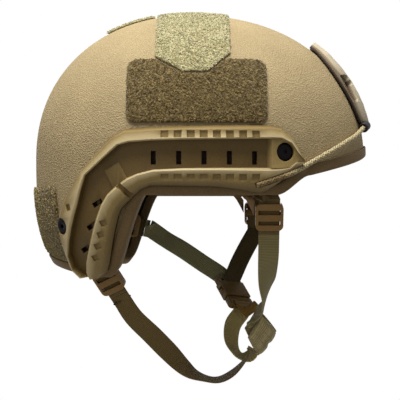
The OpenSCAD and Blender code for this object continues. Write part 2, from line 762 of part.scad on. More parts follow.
module crown_loop_panel() {
    r = 5;
    color(loop_green)
        sheet([for (x = [0, 0.5, 2.5, 6, 13, 20, 27, 33, 36.5, 38, 38.5])
            let(at = crown_panel[0] + x, d = min(x, crown_panel[1] - crown_panel[0] - x))
            let(half = crown_panel[2] - corner_cut(d, r))
            [for (y = span(-half, half, 7)) above(at, y)]], loop_low, loop_high);
}
rear_panel_top = 2;
// The panel ends short of the rails: angle from the back of the rail's outer edge, less a gap
rail_back = beside(rail_lines[17][0], rail_lines[17][1]);
rear_panel_gap = 5;
rear_panel_turn = atan(-rail_back.y / -(rail_back.x + wide_back)) - rear_panel_gap / tail * 180 / PI;
module rear_loop_panel() {
    r = 5;
    steps = [0, 0.018, 0.078, 0.18, 0.33, 0.49, 0.66, 0.84, 1];
    color(loop_green)
        sheet([for (s = concat(steps, [for (i = [len(steps) - 2:-1:0]) 2 - steps[i]]))
            let(turn = 180 + (s - 1) * rear_panel_turn, d = min(s, 2 - s) * rear_panel_turn * PI / 180 * tail)
            let(high = rear_panel_top - corner_cut(d, r))
            let(low = rim_z(turn) + trim_leg + 2 + corner_cut(d, r))
            [for (z = span(low, high, 5)) around(turn, z)]], loop_low, loop_high);
}

// Comfort pad: a crowned cushion on the inside of the shell, its sides drawn in
// Each ring has its share of the outline and its depth below the fabric that faces the shell
pad_rings = [[0.5, 0], [0.93, 0], [1, 0.14], [1.03, 0.4], [1, 0.68], [0.88, 0.88], [0.66, 0.97], [0.34, 1.01]];
function corner_round(v) = sgn(v) * pow(abs(v), 0.55);
module cushion(at, w, h, t, sides = 20, back = pad_back, rings = pad_rings) {
    p = project(at);
    n = outward(p);
    v = square_to(abs(n.z) > 0.97 ? [1, 0, 0] : [0, 0, 1], n);
    u = cross(v, n);
    function pad_point(share, a, depth) =
        lift(project(p + u * (w / 2 * share * corner_round(cos(a)))
            + v * (h / 2 * share * corner_round(sin(a)))), back - depth * t);
    pod([for (r = rings) [for (k = [0:sides - 1]) pad_point(r[0], 360 * k / sides, r[1])]],
        lift(p, back), lift(p, back - t * rings[len(rings) - 1][1]));
}
// Hook patches on the wall hold the pads clear of the nuts
hook_t = 2.4;
disc_back = inside - curve_seat;
pad_back = disc_back - hook_t - curve_seat;
disc_rings = [[0.6, 0], [1, 0], [1, 1], [0.6, 1]];
crown_at = [-wide_back, 0, crown_h];
front_pad_at = before(0, 62);
rear_pad_at = around(180, 38);
side_pad_x = [36, -42];
ear_pad_at = beside(-78, -7);
module hook_patch(at, w, h) {
    cushion(at, w, h, hook_t, 12, disc_back, disc_rings);
}
module hook_patches() {
    color("#1f1f1f") {
        hook_patch(crown_at, 40, 40);
        hook_patch(front_pad_at, 30, 26);
        hook_patch(rear_pad_at, 36, 30);
        for (side = [-1, 1]) {
            for (x = side_pad_x)
                hook_patch(beside(x, 66, side), 34, 26);
            hook_patch([ear_pad_at.x, -side * ear_pad_at.y, ear_pad_at.z], 14, 18);
        }
    }
}
module crown_pad() {
    color(foam_black)
        cushion(crown_at, 84, 84, pad_t, 24);
}
module front_pad() {
    color(foam_black)
        cushion(front_pad_at, 96, 42, pad_t);
}
module rear_pad() {
    color(foam_black)
        cushion(rear_pad_at, 84, 50, pad_t);
}
module side_pads(side) {
    color(foam_black)
        for (x = side_pad_x)
            cushion(beside(x, 66, side), 60, 44, pad_t);
}
module right_side_pads() {
    side_pads(-1);
}
module left_side_pads() {
    side_pads(1);
}
module ear_pads() {
    color(foam_black)
        for (side = [-1, 1])
            cushion([ear_pad_at.x, -side * ear_pad_at.y, ear_pad_at.z], 22, 28, ear_pad_t);
}

// Dial: two racks with a pinion between them, in a housing at the nape
rack_x = rack_inset - shell_len / 2;
pitch_r = gear_m * pinion_teeth / 2;
tooth_up = 0.85 * gear_m;
tooth_down = 1.15 * gear_m;
pressure = 20;
backlash = 0.3;
pitch = PI * gear_m;
rack_count = 8;
rack_h = 6;
rack_end = pitch * rack_count / 2 + 1;
band_start = -40;
join_w = 7;
plate_gap = 0.4;
base_t = 2.6;
cover_t = 2;
shaft_d = 7;
housing_w = 62;
housing_h = 2 * (pitch_r + tooth_down + rack_h) + 9;
module rack_tooth() {
    slope = tan(pressure);
    root = pitch / 4 - backlash / 2 + tooth_down * slope;
    tip = pitch / 4 - backlash / 2 - tooth_up * slope;
    polygon([[-root, 0.2], [root, 0.2], [root, 0], [tip, -tooth_up - tooth_down], [-tip, -tooth_up - tooth_down],
        [-root, 0]]);
}
// Rack over the pinion, drawn with y to the right and z up from the pinion's axis
module rack_outline() {
    root_z = pitch_r + tooth_down;
    translate([band_start, root_z])
        square([rack_end - band_start, rack_h]);
    for (k = [0:rack_count - 1])
        translate([(k - rack_count / 2 + 0.5) * pitch, root_z])
            rack_tooth();
}
// Layers stack along x: the drawing plane's x is the model's y
module layer(x0, t) {
    translate([x0, 0, dial_z])
        rotate([90, 0, 90])
            linear_extrude(t)
                children();
}
// Band beyond the rack: forward, across and up from the rack's middle line
band_route = [[0, -38, 0], [0, -41, 0], [3, -45.5, 0.5], [9, -49, 2], [18, -51.5, 4], [28, -53, 6], [38, -53.5, 8]];
vent_at = [28, -53, 6];
module band(high) {
    path = smooth([for (q = band_route) [q[0] + rack_x, q[1], q[2] + dial_z, 0, 0, 1]], 2);
    join_z = pitch_r + tooth_down + rack_h;
    difference() {
        union() {
            layer(rack_x - band_t / 2, band_t) {
                scale([1, high])
                    rack_outline();
                translate([band_start, high > 0 ? -band_h / 2 : -join_z])
                    square([join_w, join_z + band_h / 2]);
            }
            webbing(path, band_h, band_t);
        }
        translate([rack_x + vent_at.x, vent_at.y, dial_z + vent_at.z])
            rotate([90, 8, 0])
                linear_extrude(20, center = true)
                    rounded(12, 5, 2);
    }
}
module right_band() {
    color(black)
        band(1);
}
module left_band() {
    color(black)
        mirror([0, 1, 0])
            band(-1);
}
// Involute flank point of the pinion at a radius
function roll(r, base) = sqrt(max(r * r / (base * base) - 1, 0)) * 180 / PI;
function flank_turn(r, base) = roll(r, base) - atan(sqrt(max(r * r / (base * base) - 1, 0)));
module pinion_outline() {
    base = pitch_r * cos(pressure);
    tip_r = pitch_r + tooth_up;
    root_r = pitch_r - tooth_down;
    half = (pitch / 4 - backlash / 2) / pitch_r * 180 / PI + flank_turn(pitch_r, base);
    radii = span(max(base, root_r), tip_r, 4);
    circle(r = root_r);
    for (k = [0:pinion_teeth - 1])
        rotate([0, 0, 90 + 360 * k / pinion_teeth])
            polygon(concat(
                [for (r = concat([root_r - 0.3], radii))
                    let(a = half - flank_turn(r, base)) r * [cos(a), sin(a)]],
                [for (r = backwards(concat([root_r - 0.3], radii)))
                    let(a = half - flank_turn(r, base)) r * [cos(a), -sin(a)]]));
}
cover_x = rack_x - band_t / 2 - plate_gap - cover_t;
base_x = rack_x + band_t / 2 + plate_gap;
knob_x = cover_x - run_gap - knob_l;
module dial_pinion() {
    color("#3a3a3a") {
        layer(rack_x - band_t / 2 - 0.2, band_t + 0.4)
            pinion_outline();
        layer(knob_x + 2.5, rack_x - knob_x - 2.5)
            circle(d = shaft_d);
        layer(rack_x, band_t / 2 + plate_gap + base_t - 0.4)
            circle(d = 4);
    }
}
module dial_knob() {
    ribs = 20;
    color(black)
        difference() {
            union() {
                layer(knob_x, knob_l)
                    circle(d = knob_d - 3);
                for (k = [0:ribs - 1])
                    layer(knob_x + 1.2, knob_l - 1.2)
                        rotate([0, 0, 360 * k / ribs])
                            translate([knob_d / 2 - 2.2, 0])
                                circle(r = 1.8, $fn = 16);
            }
            layer(knob_x + 2.3, knob_l)
                circle(d = shaft_d + 0.2);
            layer(knob_x - 1, 2.2)
                circle(d = knob_d - 14);
        }
}
module housing_outline() {
    rounded(housing_w, housing_h, 8);
}
dial_screw_at = [for (y = [-1, 1]) for (z = [-1, 1]) [y * (housing_w / 2 - 7), z * (housing_h / 2 - 2.6)]];
module dial_base() {
    rail_z = pitch_r + tooth_down + rack_h + 0.4;
    color(black)
        difference() {
            union() {
                layer(base_x, base_t)
                    housing_outline();
                layer(rack_x - band_t / 2 - plate_gap + 0.2, band_t + plate_gap + 0.4)
                    intersection() {
                        housing_outline();
                        for (s = [-1, 1])
                            translate([0, s * (rail_z + 10)])
                                square([housing_w + 2, 20], center = true);
                    }
            }
            layer(base_x - 1, base_t + 2)
                circle(d = 4.5);
            for (q = dial_screw_at)
                layer(rack_x - 6, 20)
                    translate(q)
                        circle(d = 2.4, $fn = 24);
        }
}
module dial_cover() {
    color(black)
        difference() {
            layer(cover_x, cover_t)
                housing_outline();
            layer(cover_x - 1, cover_t + 2)
                circle(d = shaft_d + run_gap);
            for (q = dial_screw_at)
                layer(cover_x - 1, cover_t + 2)
                    translate(q)
                        circle(d = 2.4, $fn = 24);
        }
}
module dial_screws() {
    color("#3a3a3a")
        for (q = dial_screw_at) {
            layer(cover_x - 0.6, base_x - cover_x + base_t)
                translate(q)
                    circle(d = 2, $fn = 24);
            layer(cover_x - 1.4, 1.2)
                translate(q)
                    circle(d = 4, $fn = 24);
        }
}
// Webbing hanger from the dial housing up to the back of the shell
hanger_z = [2, 14];
module hanger() {
    top = lift(around(180, hanger_z[1]), inside - 2);
    low = lift(around(180, hanger_z[0]), inside - 2);
    path = [top, low, low + [6, 0, -8], [base_x + base_t + 3, 0, dial_z + housing_h / 2 + 8],
        [base_x + base_t + 1.2, 0, dial_z + housing_h / 2 - 2], [base_x + base_t + 1.2, 0, dial_z + housing_h / 2 - 8]];
    webbing(smooth([for (p = path) [p.x, p.y, p.z, 0, 1, 0]], 3), 22, 1.4);
}
module dial_hanger() {
    color(web_green)
        hanger();
}
module nape_pad() {
    color(foam_black)
        translate([base_x + base_t + seat + 1.9, 0, dial_z])
            rotate([90, 0, 90])
                pod([for (r = pad_rings) [for (k = [0:19])
                    let(a = -360 * k / 20, share = r[0] * 0.97)
                    [housing_w / 2 * share * corner_round(cos(a)), (housing_h / 2 - 1) * share * corner_round(sin(a)),
                        r[1] * 9]]], [0, 0, 0], [0, 0, 9.2]);
}

// Chin cup: a padded band across the chin, its middle line and the direction across it
cup_half = 30;
function cup_middle(y) =
    let(s = (y / 30) * (y / 30)) [57 - 12.5 * s, y, -129.6 + 17.8 * s];
function cup_across(y) = unit([-0.59 + 0.1 * pow(y / 30, 2), 0, -0.81]);
function cup_along(y) = unit(cup_middle(y + 0.5) - cup_middle(y - 0.5));
function cup_out(y) = unit(cross(cup_across(y), cup_along(y)));
function step(p, w) = [p.x, p.y, p.z, w.x, w.y, w.z];

// Webbing between the bolts and the sliders: height and thickness of each run follow the shell
web_wall = -wall - seat - web_t / 2;
flat_wall = web_wall - flat_clear;
web_rim = -wall - trim_t - 1.2 - web_t / 2;
front_slide_at = [52.5, -92.5, -21];
front_slide_dir = unit([0, 0.3, -1]);
// The rear webbing leaves the wall above the rim and runs straight to its slider
rear_run = 34;
rear_slide_dir = unit([0.5, 0.26, -0.82]);
rear_slide_at = lift(beside(-98, -49), web_wall - 4.6) + rear_slide_dir * rear_run;
function flat_run(at, dir, reach_up, reach_down, wide) =
    [for (s = [-reach_up, reach_down]) let(p = at + dir * s) [p.x, p.y, p.z, wide.x, wide.y, wide.z]];
// Anchor webbing of the front: broad at the rim, drawn in to the slider
front_web_lines = [
    [34, 52, 68, 0], [27, 51, 69, 0], [19, 48, 69, 0], [8, 41, 67, 1], [-3, 33, 61.5, 1.4], [-6.2, 34.2, 60.5, 1.5]
];
// Lines on the plane of the slider: distance along the run and left edge from its middle
front_wing_lines = [[-12.8, -17.6], [-1, -11.6], [1.5, -web_w / 2 - 0.4], [14, -web_w / 2]];
// Slit that parts the triangular wing from the webbing that runs on through the slider
wing_slit = 3.4;
module front_web() {
    rings = concat(
        [for (l = front_web_lines)
            let(h = mix(web_wall, web_rim, min(l[3], 1)) - max(l[3] - 1, 0))
            concat([for (x = span(l[1], l[2], 3)) lift(beside(x, l[0]), h + web_t / 2)],
                [for (x = span(l[2], l[1], 3)) lift(beside(x, l[0]), h - web_t / 2)])],
        [for (l = front_wing_lines)
            let(p = front_slide_at + front_slide_dir * l[0], n = cross(front_slide_dir, [1, 0, 0]))
            concat([for (x = span(l[1], web_w / 2, 3)) p + [x, 0, 0] + n * (web_t / 2)],
                [for (x = span(web_w / 2, l[1], 3)) p + [x, 0, 0] - n * (web_t / 2)])]);
    difference() {
        bar(rings);
        translate([front_slide_at.x - web_w / 2 - wing_slit, -shell_w, front_slide_at.z - 40])
            cube([wing_slit, shell_w, 54]);
        stand_on_shell(front_bolt)
            translate([0, 0, -20])
                cylinder(d = bolt_d + hole_gap, h = 30);
    }
}
module right_front_web() {
    color(rubber_tan)
        front_web();
}
module left_front_web() {
    color(rubber_tan)
        mirror([0, 1, 0])
            front_web();
}
function on_wall(x, z, h) = lift(beside(x, z), h);
function wall_step(x, z, h, dir) = step(on_wall(x, z, h), square_to(dir, outward(beside(x, z))));
rear_wide = [0.78, -0.3, 0.45];
rear_web_path = concat(
    [wall_step(-104, -18, flat_wall, [1, 0, 0.28]), wall_step(-100, -27, flat_wall, [1, 0, 0.3]),
        wall_step(-99, -38, flat_wall - 0.4, [1, 0, 0.35])],
    flat_run(rear_slide_at, rear_slide_dir, rear_run, 15, rear_wide));
module right_rear_web() {
    color(web_green)
        difference() {
            webbing(rear_web_path);
            stand_on_shell(rear_bolt)
                translate([0, 0, -20])
                    cylinder(d = bolt_d + hole_gap, h = 30);
        }
}
left_slide_dir = unit([0.95, 0.2, -0.2]);
left_slide_at = other_side(lift(beside(-94.6, -28.6), flat_wall)) + left_slide_dir * 22.8;
left_wide = [0.08, 0.05, 1];
left_rear_web_path = concat(
    [for (q = [[-104.5, -25.5], [-100, -27], [-94.6, -28.6]])
        let(a = wall_step(q[0], q[1], flat_wall, [-0.3, 0, 1])) step(other_side(place(a)), other_side(broad(a)))],
    flat_run(left_slide_at, left_slide_dir, 18, 16, left_wide));
module left_rear_web() {
    color(web_green)
        difference() {
            webbing(left_rear_web_path);
            stand_on_shell(other_side(rear_bolt))
                translate([0, 0, -20])
                    cylinder(d = bolt_d + hole_gap, h = 30);
        }
}

// Free straps: routes chosen by hand, each point with the direction of the width
// The first stretch keeps the line of the webbing that it carries on
function run_on(end, dir, wide, rest) =
    concat([step(end, wide)], smooth(concat([step(end + dir * 3, wide)], rest), 3));
strap_start = 14.3;
cup_up = (cup_w - web_w) / 2;
cup_end_gap = 2;
right_cup_end = cup_middle(-cup_half) - cup_across(-cup_half) * cup_up;
right_front_strap_path = run_on(front_slide_at + front_slide_dir * strap_start, front_slide_dir, [1, 0, 0], [
    step([52.5, -83, -52], [1, 0.1, 0]), step([52.5, -69, -70], [0.85, 0.5, 0.1]),
    step([52.5, -54, -85], [0.35, 0.9, 0.4]), step([50.5, -42.5, -95.5], [0.2, 0.5, 0.8]),
    step(right_cup_end - cup_along(-cup_half) * 3 * cup_end_gap, -cup_across(-cup_half)),
    step(right_cup_end - cup_along(-cup_half) * cup_end_gap, -cup_across(-cup_half))
]);
module right_front_strap() {
    color(web_green)
        webbing(right_front_strap_path);
}
// Point just under the chin cup's lower edge, whose curve takes a wider seat
edge_seat = 2.5;
function under_cup(y, d) = cup_middle(y) + cup_across(y) * (cup_w / 2 + d);
right_rear_strap_path = run_on(rear_slide_at + rear_slide_dir * (strap_start + 1), rear_slide_dir, rear_wide, [
    step([-53, -46, -103], [0.76, -0.2, 0.6]), step([-39, -41, -117.5], [0.78, 0, 0.6]),
    step([-26, -36, -131.5], [0.75, 0.3, 0.58]), step([-12, -31, -146], [0.5, 0.75, 0.4]),
    step([1, -26, -154], [0.1, 1, 0.15]), step([15, -21, -157.5], [-0.1, 1, 0.1]),
    step([28, -19, -151.5], [-0.1, 1, 0.1]), step(under_cup(-20, 8), [0.1, 1, -0.1]),
    step(under_cup(-20, edge_seat), cup_along(-20))
]);
module right_rear_strap() {
    color(web_green)
        webbing(right_rear_strap_path);
}
left_front_strap_path = run_on(other_side(front_slide_at + front_slide_dir * strap_start),
    other_side(front_slide_dir), [1, 0, 0], [
    step([44, 83, -52], [1, 0, -0.1]), step([37, 79, -65], [1, 0, -0.15]),
    step([31, 73.5, -78], [0.95, 0.2, -0.2])
]);
module left_front_strap() {
    color(web_green)
        webbing(left_front_strap_path);
}
left_rear_strap_path = run_on(left_slide_at + left_slide_dir * (strap_start + 2), left_slide_dir, left_wide, [
    step([-31, 84, -46], [0.2, 0.3, 1]), step([-16, 84, -55], [0.4, 0.1, 0.9]),
    step([2, 80.5, -67], [0.5, 0.1, 0.85]), step([19.5, 76.5, -78.5], [0.55, 0.1, 0.8])
]);
module left_rear_strap() {
    color(web_green)
        webbing(left_rear_strap_path);
}

// Slider: two side rails, two outer bars and a middle bar on the other face of the webbing
slider_w = web_w + 5;
slider_h = 21;
bar_t = 2.2;
module slider() {
    open_w = web_w + 1;
    low = -web_t / 2 - web_gap - bar_t;
    high = web_t / 2 + web_gap + bar_t;
    difference() {
        translate([0, 0, low])
            linear_extrude(high - low)
                rounded(slider_w, slider_h, 4);
        translate([-open_w / 2, -slider_h, -web_t / 2 - web_gap])
            cube([open_w, 2 * slider_h, web_t + 2 * web_gap]);
        translate([-open_w / 2, -slider_h / 2 + 4.2, -web_t])
            cube([open_w, 3.4, 2 * high]);
        translate([-open_w / 2, slider_h / 2 - 8.6, -web_t])
            cube([open_w, 3.8, 2 * high]);
        for (y = [-1, 1])
            translate([-open_w / 2, y > 0 ? 2.6 : -slider_h, low - 1])
                cube([open_w, slider_h - 2.6, bar_t + 1 + web_gap]);
    }
}
module seat_slider(at, dir, wide) {
    stand(at, cross(dir, square_to(wide, dir)), -dir)
        slider();
}
module right_front_slider() {
    color(tan_rail)
        seat_slider(front_slide_at, front_slide_dir, [1, 0, 0]);
}
module left_front_slider() {
    color(tan_rail)
        mirror([0, 1, 0])
            seat_slider(front_slide_at, front_slide_dir, [1, 0, 0]);
}
module right_rear_slider() {
    color(tan_rail)
        seat_slider(rear_slide_at, rear_slide_dir, rear_wide);
}
module left_rear_slider() {
    color(tan_rail)
        seat_slider(left_slide_at, left_slide_dir, left_wide);
}

// Side release buckle on the left: the male half leaves the female one along the strap
buckle_at = [27, 67, -86];
buckle_dir = unit([0.33, -0.76, -0.56]);
buckle_up = [0.86, 0.48, -0.14];
buckle_wall = 1.6;
// Children lie with x across the buckle, y along its way out and z through its thickness
module at_buckle() {
    stand(buckle_at, cross(square_to(buckle_up, buckle_dir), buckle_dir), buckle_dir)
        children();
}
mouth_w = buckle_w - 2 * buckle_wall;
mouth_t = buckle_t - 2 * buckle_wall;
module buckle_female() {
    color(black)
        at_buckle()
            difference() {
                translate([0, 0, -buckle_t / 2])
                    union() {
                        translate([-buckle_w / 2, 0, 0])
                            cube([buckle_w, buckle_l, buckle_t]);
                        translate([0, -1.5, 1.4])
                            linear_extrude(buckle_t - 2.8)
                                rounded(buckle_w, 13, 2.5);
                    }
                translate([-mouth_w / 2, 2.5, -mouth_t / 2])
                    cube([mouth_w, buckle_l, mouth_t]);
                for (s = [-1, 1])
                    translate([s * buckle_w / 2 - 3, 6, -mouth_t / 2 + 0.2])
                        cube([6, 8, mouth_t - 0.4]);
                translate([-web_w / 2 - 0.5, -5, -buckle_t])
                    cube([web_w + 1, 3.2, 2 * buckle_t]);
            }
}
male_gap = 0.35;
// Thickness of the bar that the chin straps go round
male_bar_t = 2.2;
module buckle_male() {
    color(black)
        at_buckle()
            difference() {
                union() {
                    translate([0, buckle_l + 6.6, -buckle_t / 2 + 1.4])
                        linear_extrude(buckle_t - 2.8)
                            rounded(buckle_w, 12, 2.5);
                    translate([-2.2, 4, -mouth_t / 2 + male_gap])
                        cube([4.4, buckle_l - 2, mouth_t - 2 * male_gap]);
                }
                translate([-web_w / 2 - 0.5, buckle_l + 6.2, -buckle_t])
                    cube([web_w + 1, 3.5, 2 * buckle_t]);
                for (z = [male_bar_t / 2, -male_bar_t / 2 - buckle_t])
                    translate([-web_w / 2 - 0.5, buckle_l + 9, z])
                        cube([web_w + 1, 5, buckle_t]);
            }
}
module buckle_latches() {
    color(black)
        at_buckle()
            for (s = [0, 1])
                mirror([s, 0, 0])
                    translate([0, 0, -mouth_t / 2 + male_gap])
                        linear_extrude(mouth_t - 2 * male_gap)
                            polygon([[mouth_w / 2 - 3, buckle_l + 0.6 - 0.3], [mouth_w / 2 - 0.5, buckle_l + 0.3],
                                [mouth_w / 2 - 0.5, 13.4], [buckle_w / 2 + 0.4, 13.2], [buckle_w / 2 + 0.6, 9],
                                [mouth_w / 2 - 0.8, 6.6], [mouth_w / 2 - 3.2, 5.6], [mouth_w / 2 - 3.6, 9],
                                [mouth_w / 2 - 2.6, 13]]);
}

module cup_band(half, w, t, shift) {
    webbing([for (y = span(-half, half, 12))
        let(across = cup_across(y), p = cup_middle(y) + cup_out(y) * shift)
        [p.x, p.y, p.z, across.x, across.y, across.z]], w, t, 0.35);
}
module chin_cup() {
    color(web_green)
        cup_band(cup_half, cup_w, cup_t * 0.5, cup_t * 0.25);
}
module chin_cup_pad() {
    color("#4a4434")
        cup_band(cup_half - 4, cup_w - 3, cup_t * 0.5, -cup_t * 0.25 - seat);
}
// Point of the buckle's middle plane: distance along its way out and height through its thickness
buckle_wide = square_to(buckle_up, buckle_dir);
function in_buckle(y, z) = buckle_at + buckle_dir * y + cross(buckle_wide, buckle_dir) * z;
male_bar = buckle_l + 9.7;
bar_over = male_bar_t / 2 + 4 * seat + web_t / 2;
left_cup_end = cup_middle(cup_half) - cup_across(cup_half) * cup_up;
left_upper_path = smooth([
    step(in_buckle(male_bar - 1.6, -1.2), buckle_wide), step(in_buckle(male_bar - 0.8, -bar_over), buckle_wide),
    step(in_buckle(male_bar + 4, -bar_over), buckle_wide),
    step(left_cup_end + cup_along(cup_half) * 5, -cup_across(cup_half)),
    step(left_cup_end + cup_along(cup_half) * seat, -cup_across(cup_half))
], 3);
module left_upper_chin_strap() {
    color(rubber_tan)
        webbing(left_upper_path);
}
left_lower_path = smooth([
    step(in_buckle(male_bar - 1.6, 1.2), buckle_wide), step(in_buckle(male_bar - 0.8, bar_over), buckle_wide),
    step(in_buckle(male_bar + 5, bar_over), buckle_wide), step([29, 34, -119], [0.86, 0.45, -0.1]),
    step([27.5, 25, -133], [0.7, 0.7, -0.1]), step([33, 18, -142], [0.2, 1, 0.1]),
    step(under_cup(14, 8), cup_along(14)), step(under_cup(14, edge_seat), cup_along(14))
], 3);
module left_lower_chin_strap() {
    color(web_green)
        webbing(left_lower_path);
}

shell();
edge_trim();
right_rail();
left_rail();
front_rail_bolts();
rear_rail_bolts();
front_rail_nuts();
rear_rail_nuts();
mount_plate();
mount_gasket();
mount_screws();
mount_nuts();
cord_hooks();
right_elastic_cord();
left_elastic_cord();
top_loop_panel();
crown_loop_panel();
right_loop_panel();
left_loop_panel();
rear_loop_panel();
hook_patches();
crown_pad();
front_pad();
rear_pad();
right_side_pads();
left_side_pads();
ear_pads();
dial_base();
dial_cover();
dial_screws();
dial_hanger();
nape_pad();
dial_pinion();
dial_knob();
right_band();
left_band();
right_front_web();
left_front_web();
right_rear_web();
left_rear_web();
right_front_strap();
right_rear_strap();
left_front_strap();
left_rear_strap();
right_front_slider();
left_front_slider();
right_rear_slider();
left_rear_slider();
buckle_female();
buckle_male();
buckle_latches();
left_upper_chin_strap();
left_lower_chin_strap();
chin_cup();
chin_cup_pad();
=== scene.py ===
import math

import bmesh
import bpy
import numpy as np
from mathutils import Matrix, Vector
from mathutils.bvhtree import BVHTree

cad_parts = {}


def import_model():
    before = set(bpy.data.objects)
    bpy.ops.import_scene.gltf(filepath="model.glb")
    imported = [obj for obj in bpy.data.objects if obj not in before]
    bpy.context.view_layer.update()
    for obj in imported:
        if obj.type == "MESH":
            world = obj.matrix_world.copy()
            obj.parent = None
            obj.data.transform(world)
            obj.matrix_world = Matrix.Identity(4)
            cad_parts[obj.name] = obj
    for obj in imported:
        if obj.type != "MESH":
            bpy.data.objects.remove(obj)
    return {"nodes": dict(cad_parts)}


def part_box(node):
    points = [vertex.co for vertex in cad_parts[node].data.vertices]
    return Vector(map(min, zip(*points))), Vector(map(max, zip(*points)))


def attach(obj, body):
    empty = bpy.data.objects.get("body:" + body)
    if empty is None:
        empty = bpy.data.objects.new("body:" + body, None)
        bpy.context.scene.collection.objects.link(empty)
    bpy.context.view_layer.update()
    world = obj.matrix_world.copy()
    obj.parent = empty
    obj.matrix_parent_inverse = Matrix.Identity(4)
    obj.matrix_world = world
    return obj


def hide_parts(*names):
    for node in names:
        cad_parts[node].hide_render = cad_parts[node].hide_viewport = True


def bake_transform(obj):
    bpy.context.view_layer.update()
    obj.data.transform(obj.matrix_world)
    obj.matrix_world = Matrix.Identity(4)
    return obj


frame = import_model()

scene = bpy.context.scene
nodes = frame["nodes"]
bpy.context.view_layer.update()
MM = 0.001

# Sizes of the helmet in millimetres, as the part has them
SHELL_LEN, SHELL_W, CROWN_H, WALL = 275.0, 224.0, 146.0, 7.5
WIDE_BACK, WAIST_Z, NAPE_DEPTH = 7.0, 25.0, 134.0
DOME_POWER, NAPE_POWER = 2.15, 2.7
BROW_Z, TEMPLE_Z, EAR_Z, FLANK_Z, NAPE_Z = 31.0, 12.0, -3.0, -66.0, -58.0
TEMPLE_TURN, EAR_FRONT, EAR_BACK, FLANK_TURN = 45.0, 58.0, 108.0, 128.0
TRIM_T, TRIM_LEG = 1.6, 6.0
WEB_W, WEB_T = 16.0, 1.5
SEAT = 0.3
CORD_D = 4.0


# ---- Camera, light and stage, in metres ----
CAMERA_BACK, CAMERA_Z, CAMERA_LENS, SENSOR_W = 0.85, -0.0085, 90.0, 36.0
LAMPS_AIM = Vector((0.0, 0.0, 0.02))
AMBIENT_TONE, AMBIENT = (1.0, 0.985, 0.96, 1.0), 0.3
FLOOR_HALF, FLOOR_Z, FLOOR_TONE = 6.0, -0.62, (0.45, 0.44, 0.42, 1.0)


def shown(name, data):
    """Object with its data, linked to the scene."""
    thing = bpy.data.objects.new(name, data)
    scene.collection.objects.link(thing)
    return thing


def put(tree, kind, links=(), **settings):
    """New node with its settings, and links from sockets or plain values to its inputs."""
    node = tree.nodes.new(kind)
    for key, value in settings.items():
        setattr(node, key, value)
    for target, source in links:
        if isinstance(source, bpy.types.NodeSocket):
            tree.links.new(source, node.inputs[target])
        else:
            node.inputs[target].default_value = source
    return node


def stand_camera():
    """Camera at the photograph's distance and height, level with the side of the helmet."""
    data = bpy.data.cameras.new("camera")
    data.sensor_width, data.lens = SENSOR_W, CAMERA_LENS
    camera = shown("camera", data)
    camera.location = (0.0, -CAMERA_BACK, CAMERA_Z)
    camera.rotation_euler = (math.pi / 2, 0.0, 0.0)
    scene.camera = camera


def area_lamp(name, at, size, watts, colour=(1.0, 1.0, 1.0)):
    data = bpy.data.lights.new(name, "AREA")
    data.shape, data.size, data.energy, data.color = "DISK", size, watts, colour
    lamp = shown(name, data)
    lamp.location = at
    lamp.rotation_euler = (LAMPS_AIM - Vector(at)).to_track_quat("-Z", "Y").to_euler()


def end_in_white(tree, lit, white_kind, end_kind):
    """End of a tree: the lit shader, and plain white for the rays that the camera, gloss and glass see directly."""
    path = put(tree, "ShaderNodeLightPath")
    seen = path.outputs["Is Camera Ray"]
    for name in ("Is Glossy Ray", "Is Transmission Ray"):
        seen = put(tree, "ShaderNodeMath", [(0, seen), (1, path.outputs[name])], operation="MAXIMUM").outputs[0]
    white = put(tree, white_kind, [("Color", (1.0, 1.0, 1.0, 1.0)), ("Strength", 1.0)])
    mixed = put(tree, "ShaderNodeMixShader", [(0, seen), (1, lit.outputs[0]), (2, white.outputs[0])])
    put(tree, end_kind, [(0, mixed.outputs[0])])


def light_world():
    world = bpy.data.worlds.new("studio")
    scene.world = world
    world.use_nodes = True
    tree = world.node_tree
    tree.nodes.clear()
    soft = put(tree, "ShaderNodeBackground", [("Color", AMBIENT_TONE), ("Strength", AMBIENT)])
    end_in_white(tree, soft, "ShaderNodeBackground", "ShaderNodeOutputWorld")


def lay_floor():
    mesh = bpy.data.meshes.new("floor")
    corners = [(x * FLOOR_HALF, y * FLOOR_HALF, FLOOR_Z) for x, y in ((-1, -1), (1, -1), (1, 1), (-1, 1))]
    mesh.from_pydata(corners, [], [(0, 1, 2, 3)])
    material = bpy.data.materials.new("pale_floor")
    material.use_nodes = True
    tree = material.node_tree
    tree.nodes.clear()
    matt = put(tree, "ShaderNodeBsdfDiffuse", [("Color", FLOOR_TONE)])
    end_in_white(tree, matt, "ShaderNodeEmission", "ShaderNodeOutputMaterial")
    mesh.materials.append(material)
    shown("floor", mesh)


scene.view_settings.view_transform = "Standard"
stand_camera()
area_lamp("top_light", (-0.14, -0.42, 1.22), 0.75, 28.5, (1.0, 0.99, 0.97))
area_lamp("fill_light", (-0.85, -1.35, 0.35), 0.8, 1.5)
light_world()
lay_floor()


# ---- Form of the shell, as functions of places in millimetres ----
NOSE, TAIL = SHELL_LEN / 2 + WIDE_BACK, SHELL_LEN / 2 - WIDE_BACK
HALF_W, DOME_H = SHELL_W / 2, CROWN_H - WAIST_Z
MIDDLE = np.array([-WIDE_BACK, 0.0, WAIST_Z])


def col(values):
    return np.asarray(values, float)


def reach(x):
    return np.where(x < 0, TAIL, NOSE)


def power_at(z):
    return np.where(z < 0, NAPE_POWER, DOME_POWER)


def height_at(z):
    return np.where(z < 0, NAPE_DEPTH, DOME_H)


def plan_sum(x, y):
    return np.abs(x / reach(x)) ** DOME_POWER + np.abs(y / HALF_W) ** DOME_POWER


def left_over(z):
    return np.clip(1 - np.abs(z / height_at(z)) ** power_at(z), 0, None)


def unit(v):
    v = np.asarray(v, float)
    return v / np.maximum(np.linalg.norm(v, axis=-1, keepdims=True), 1e-12)


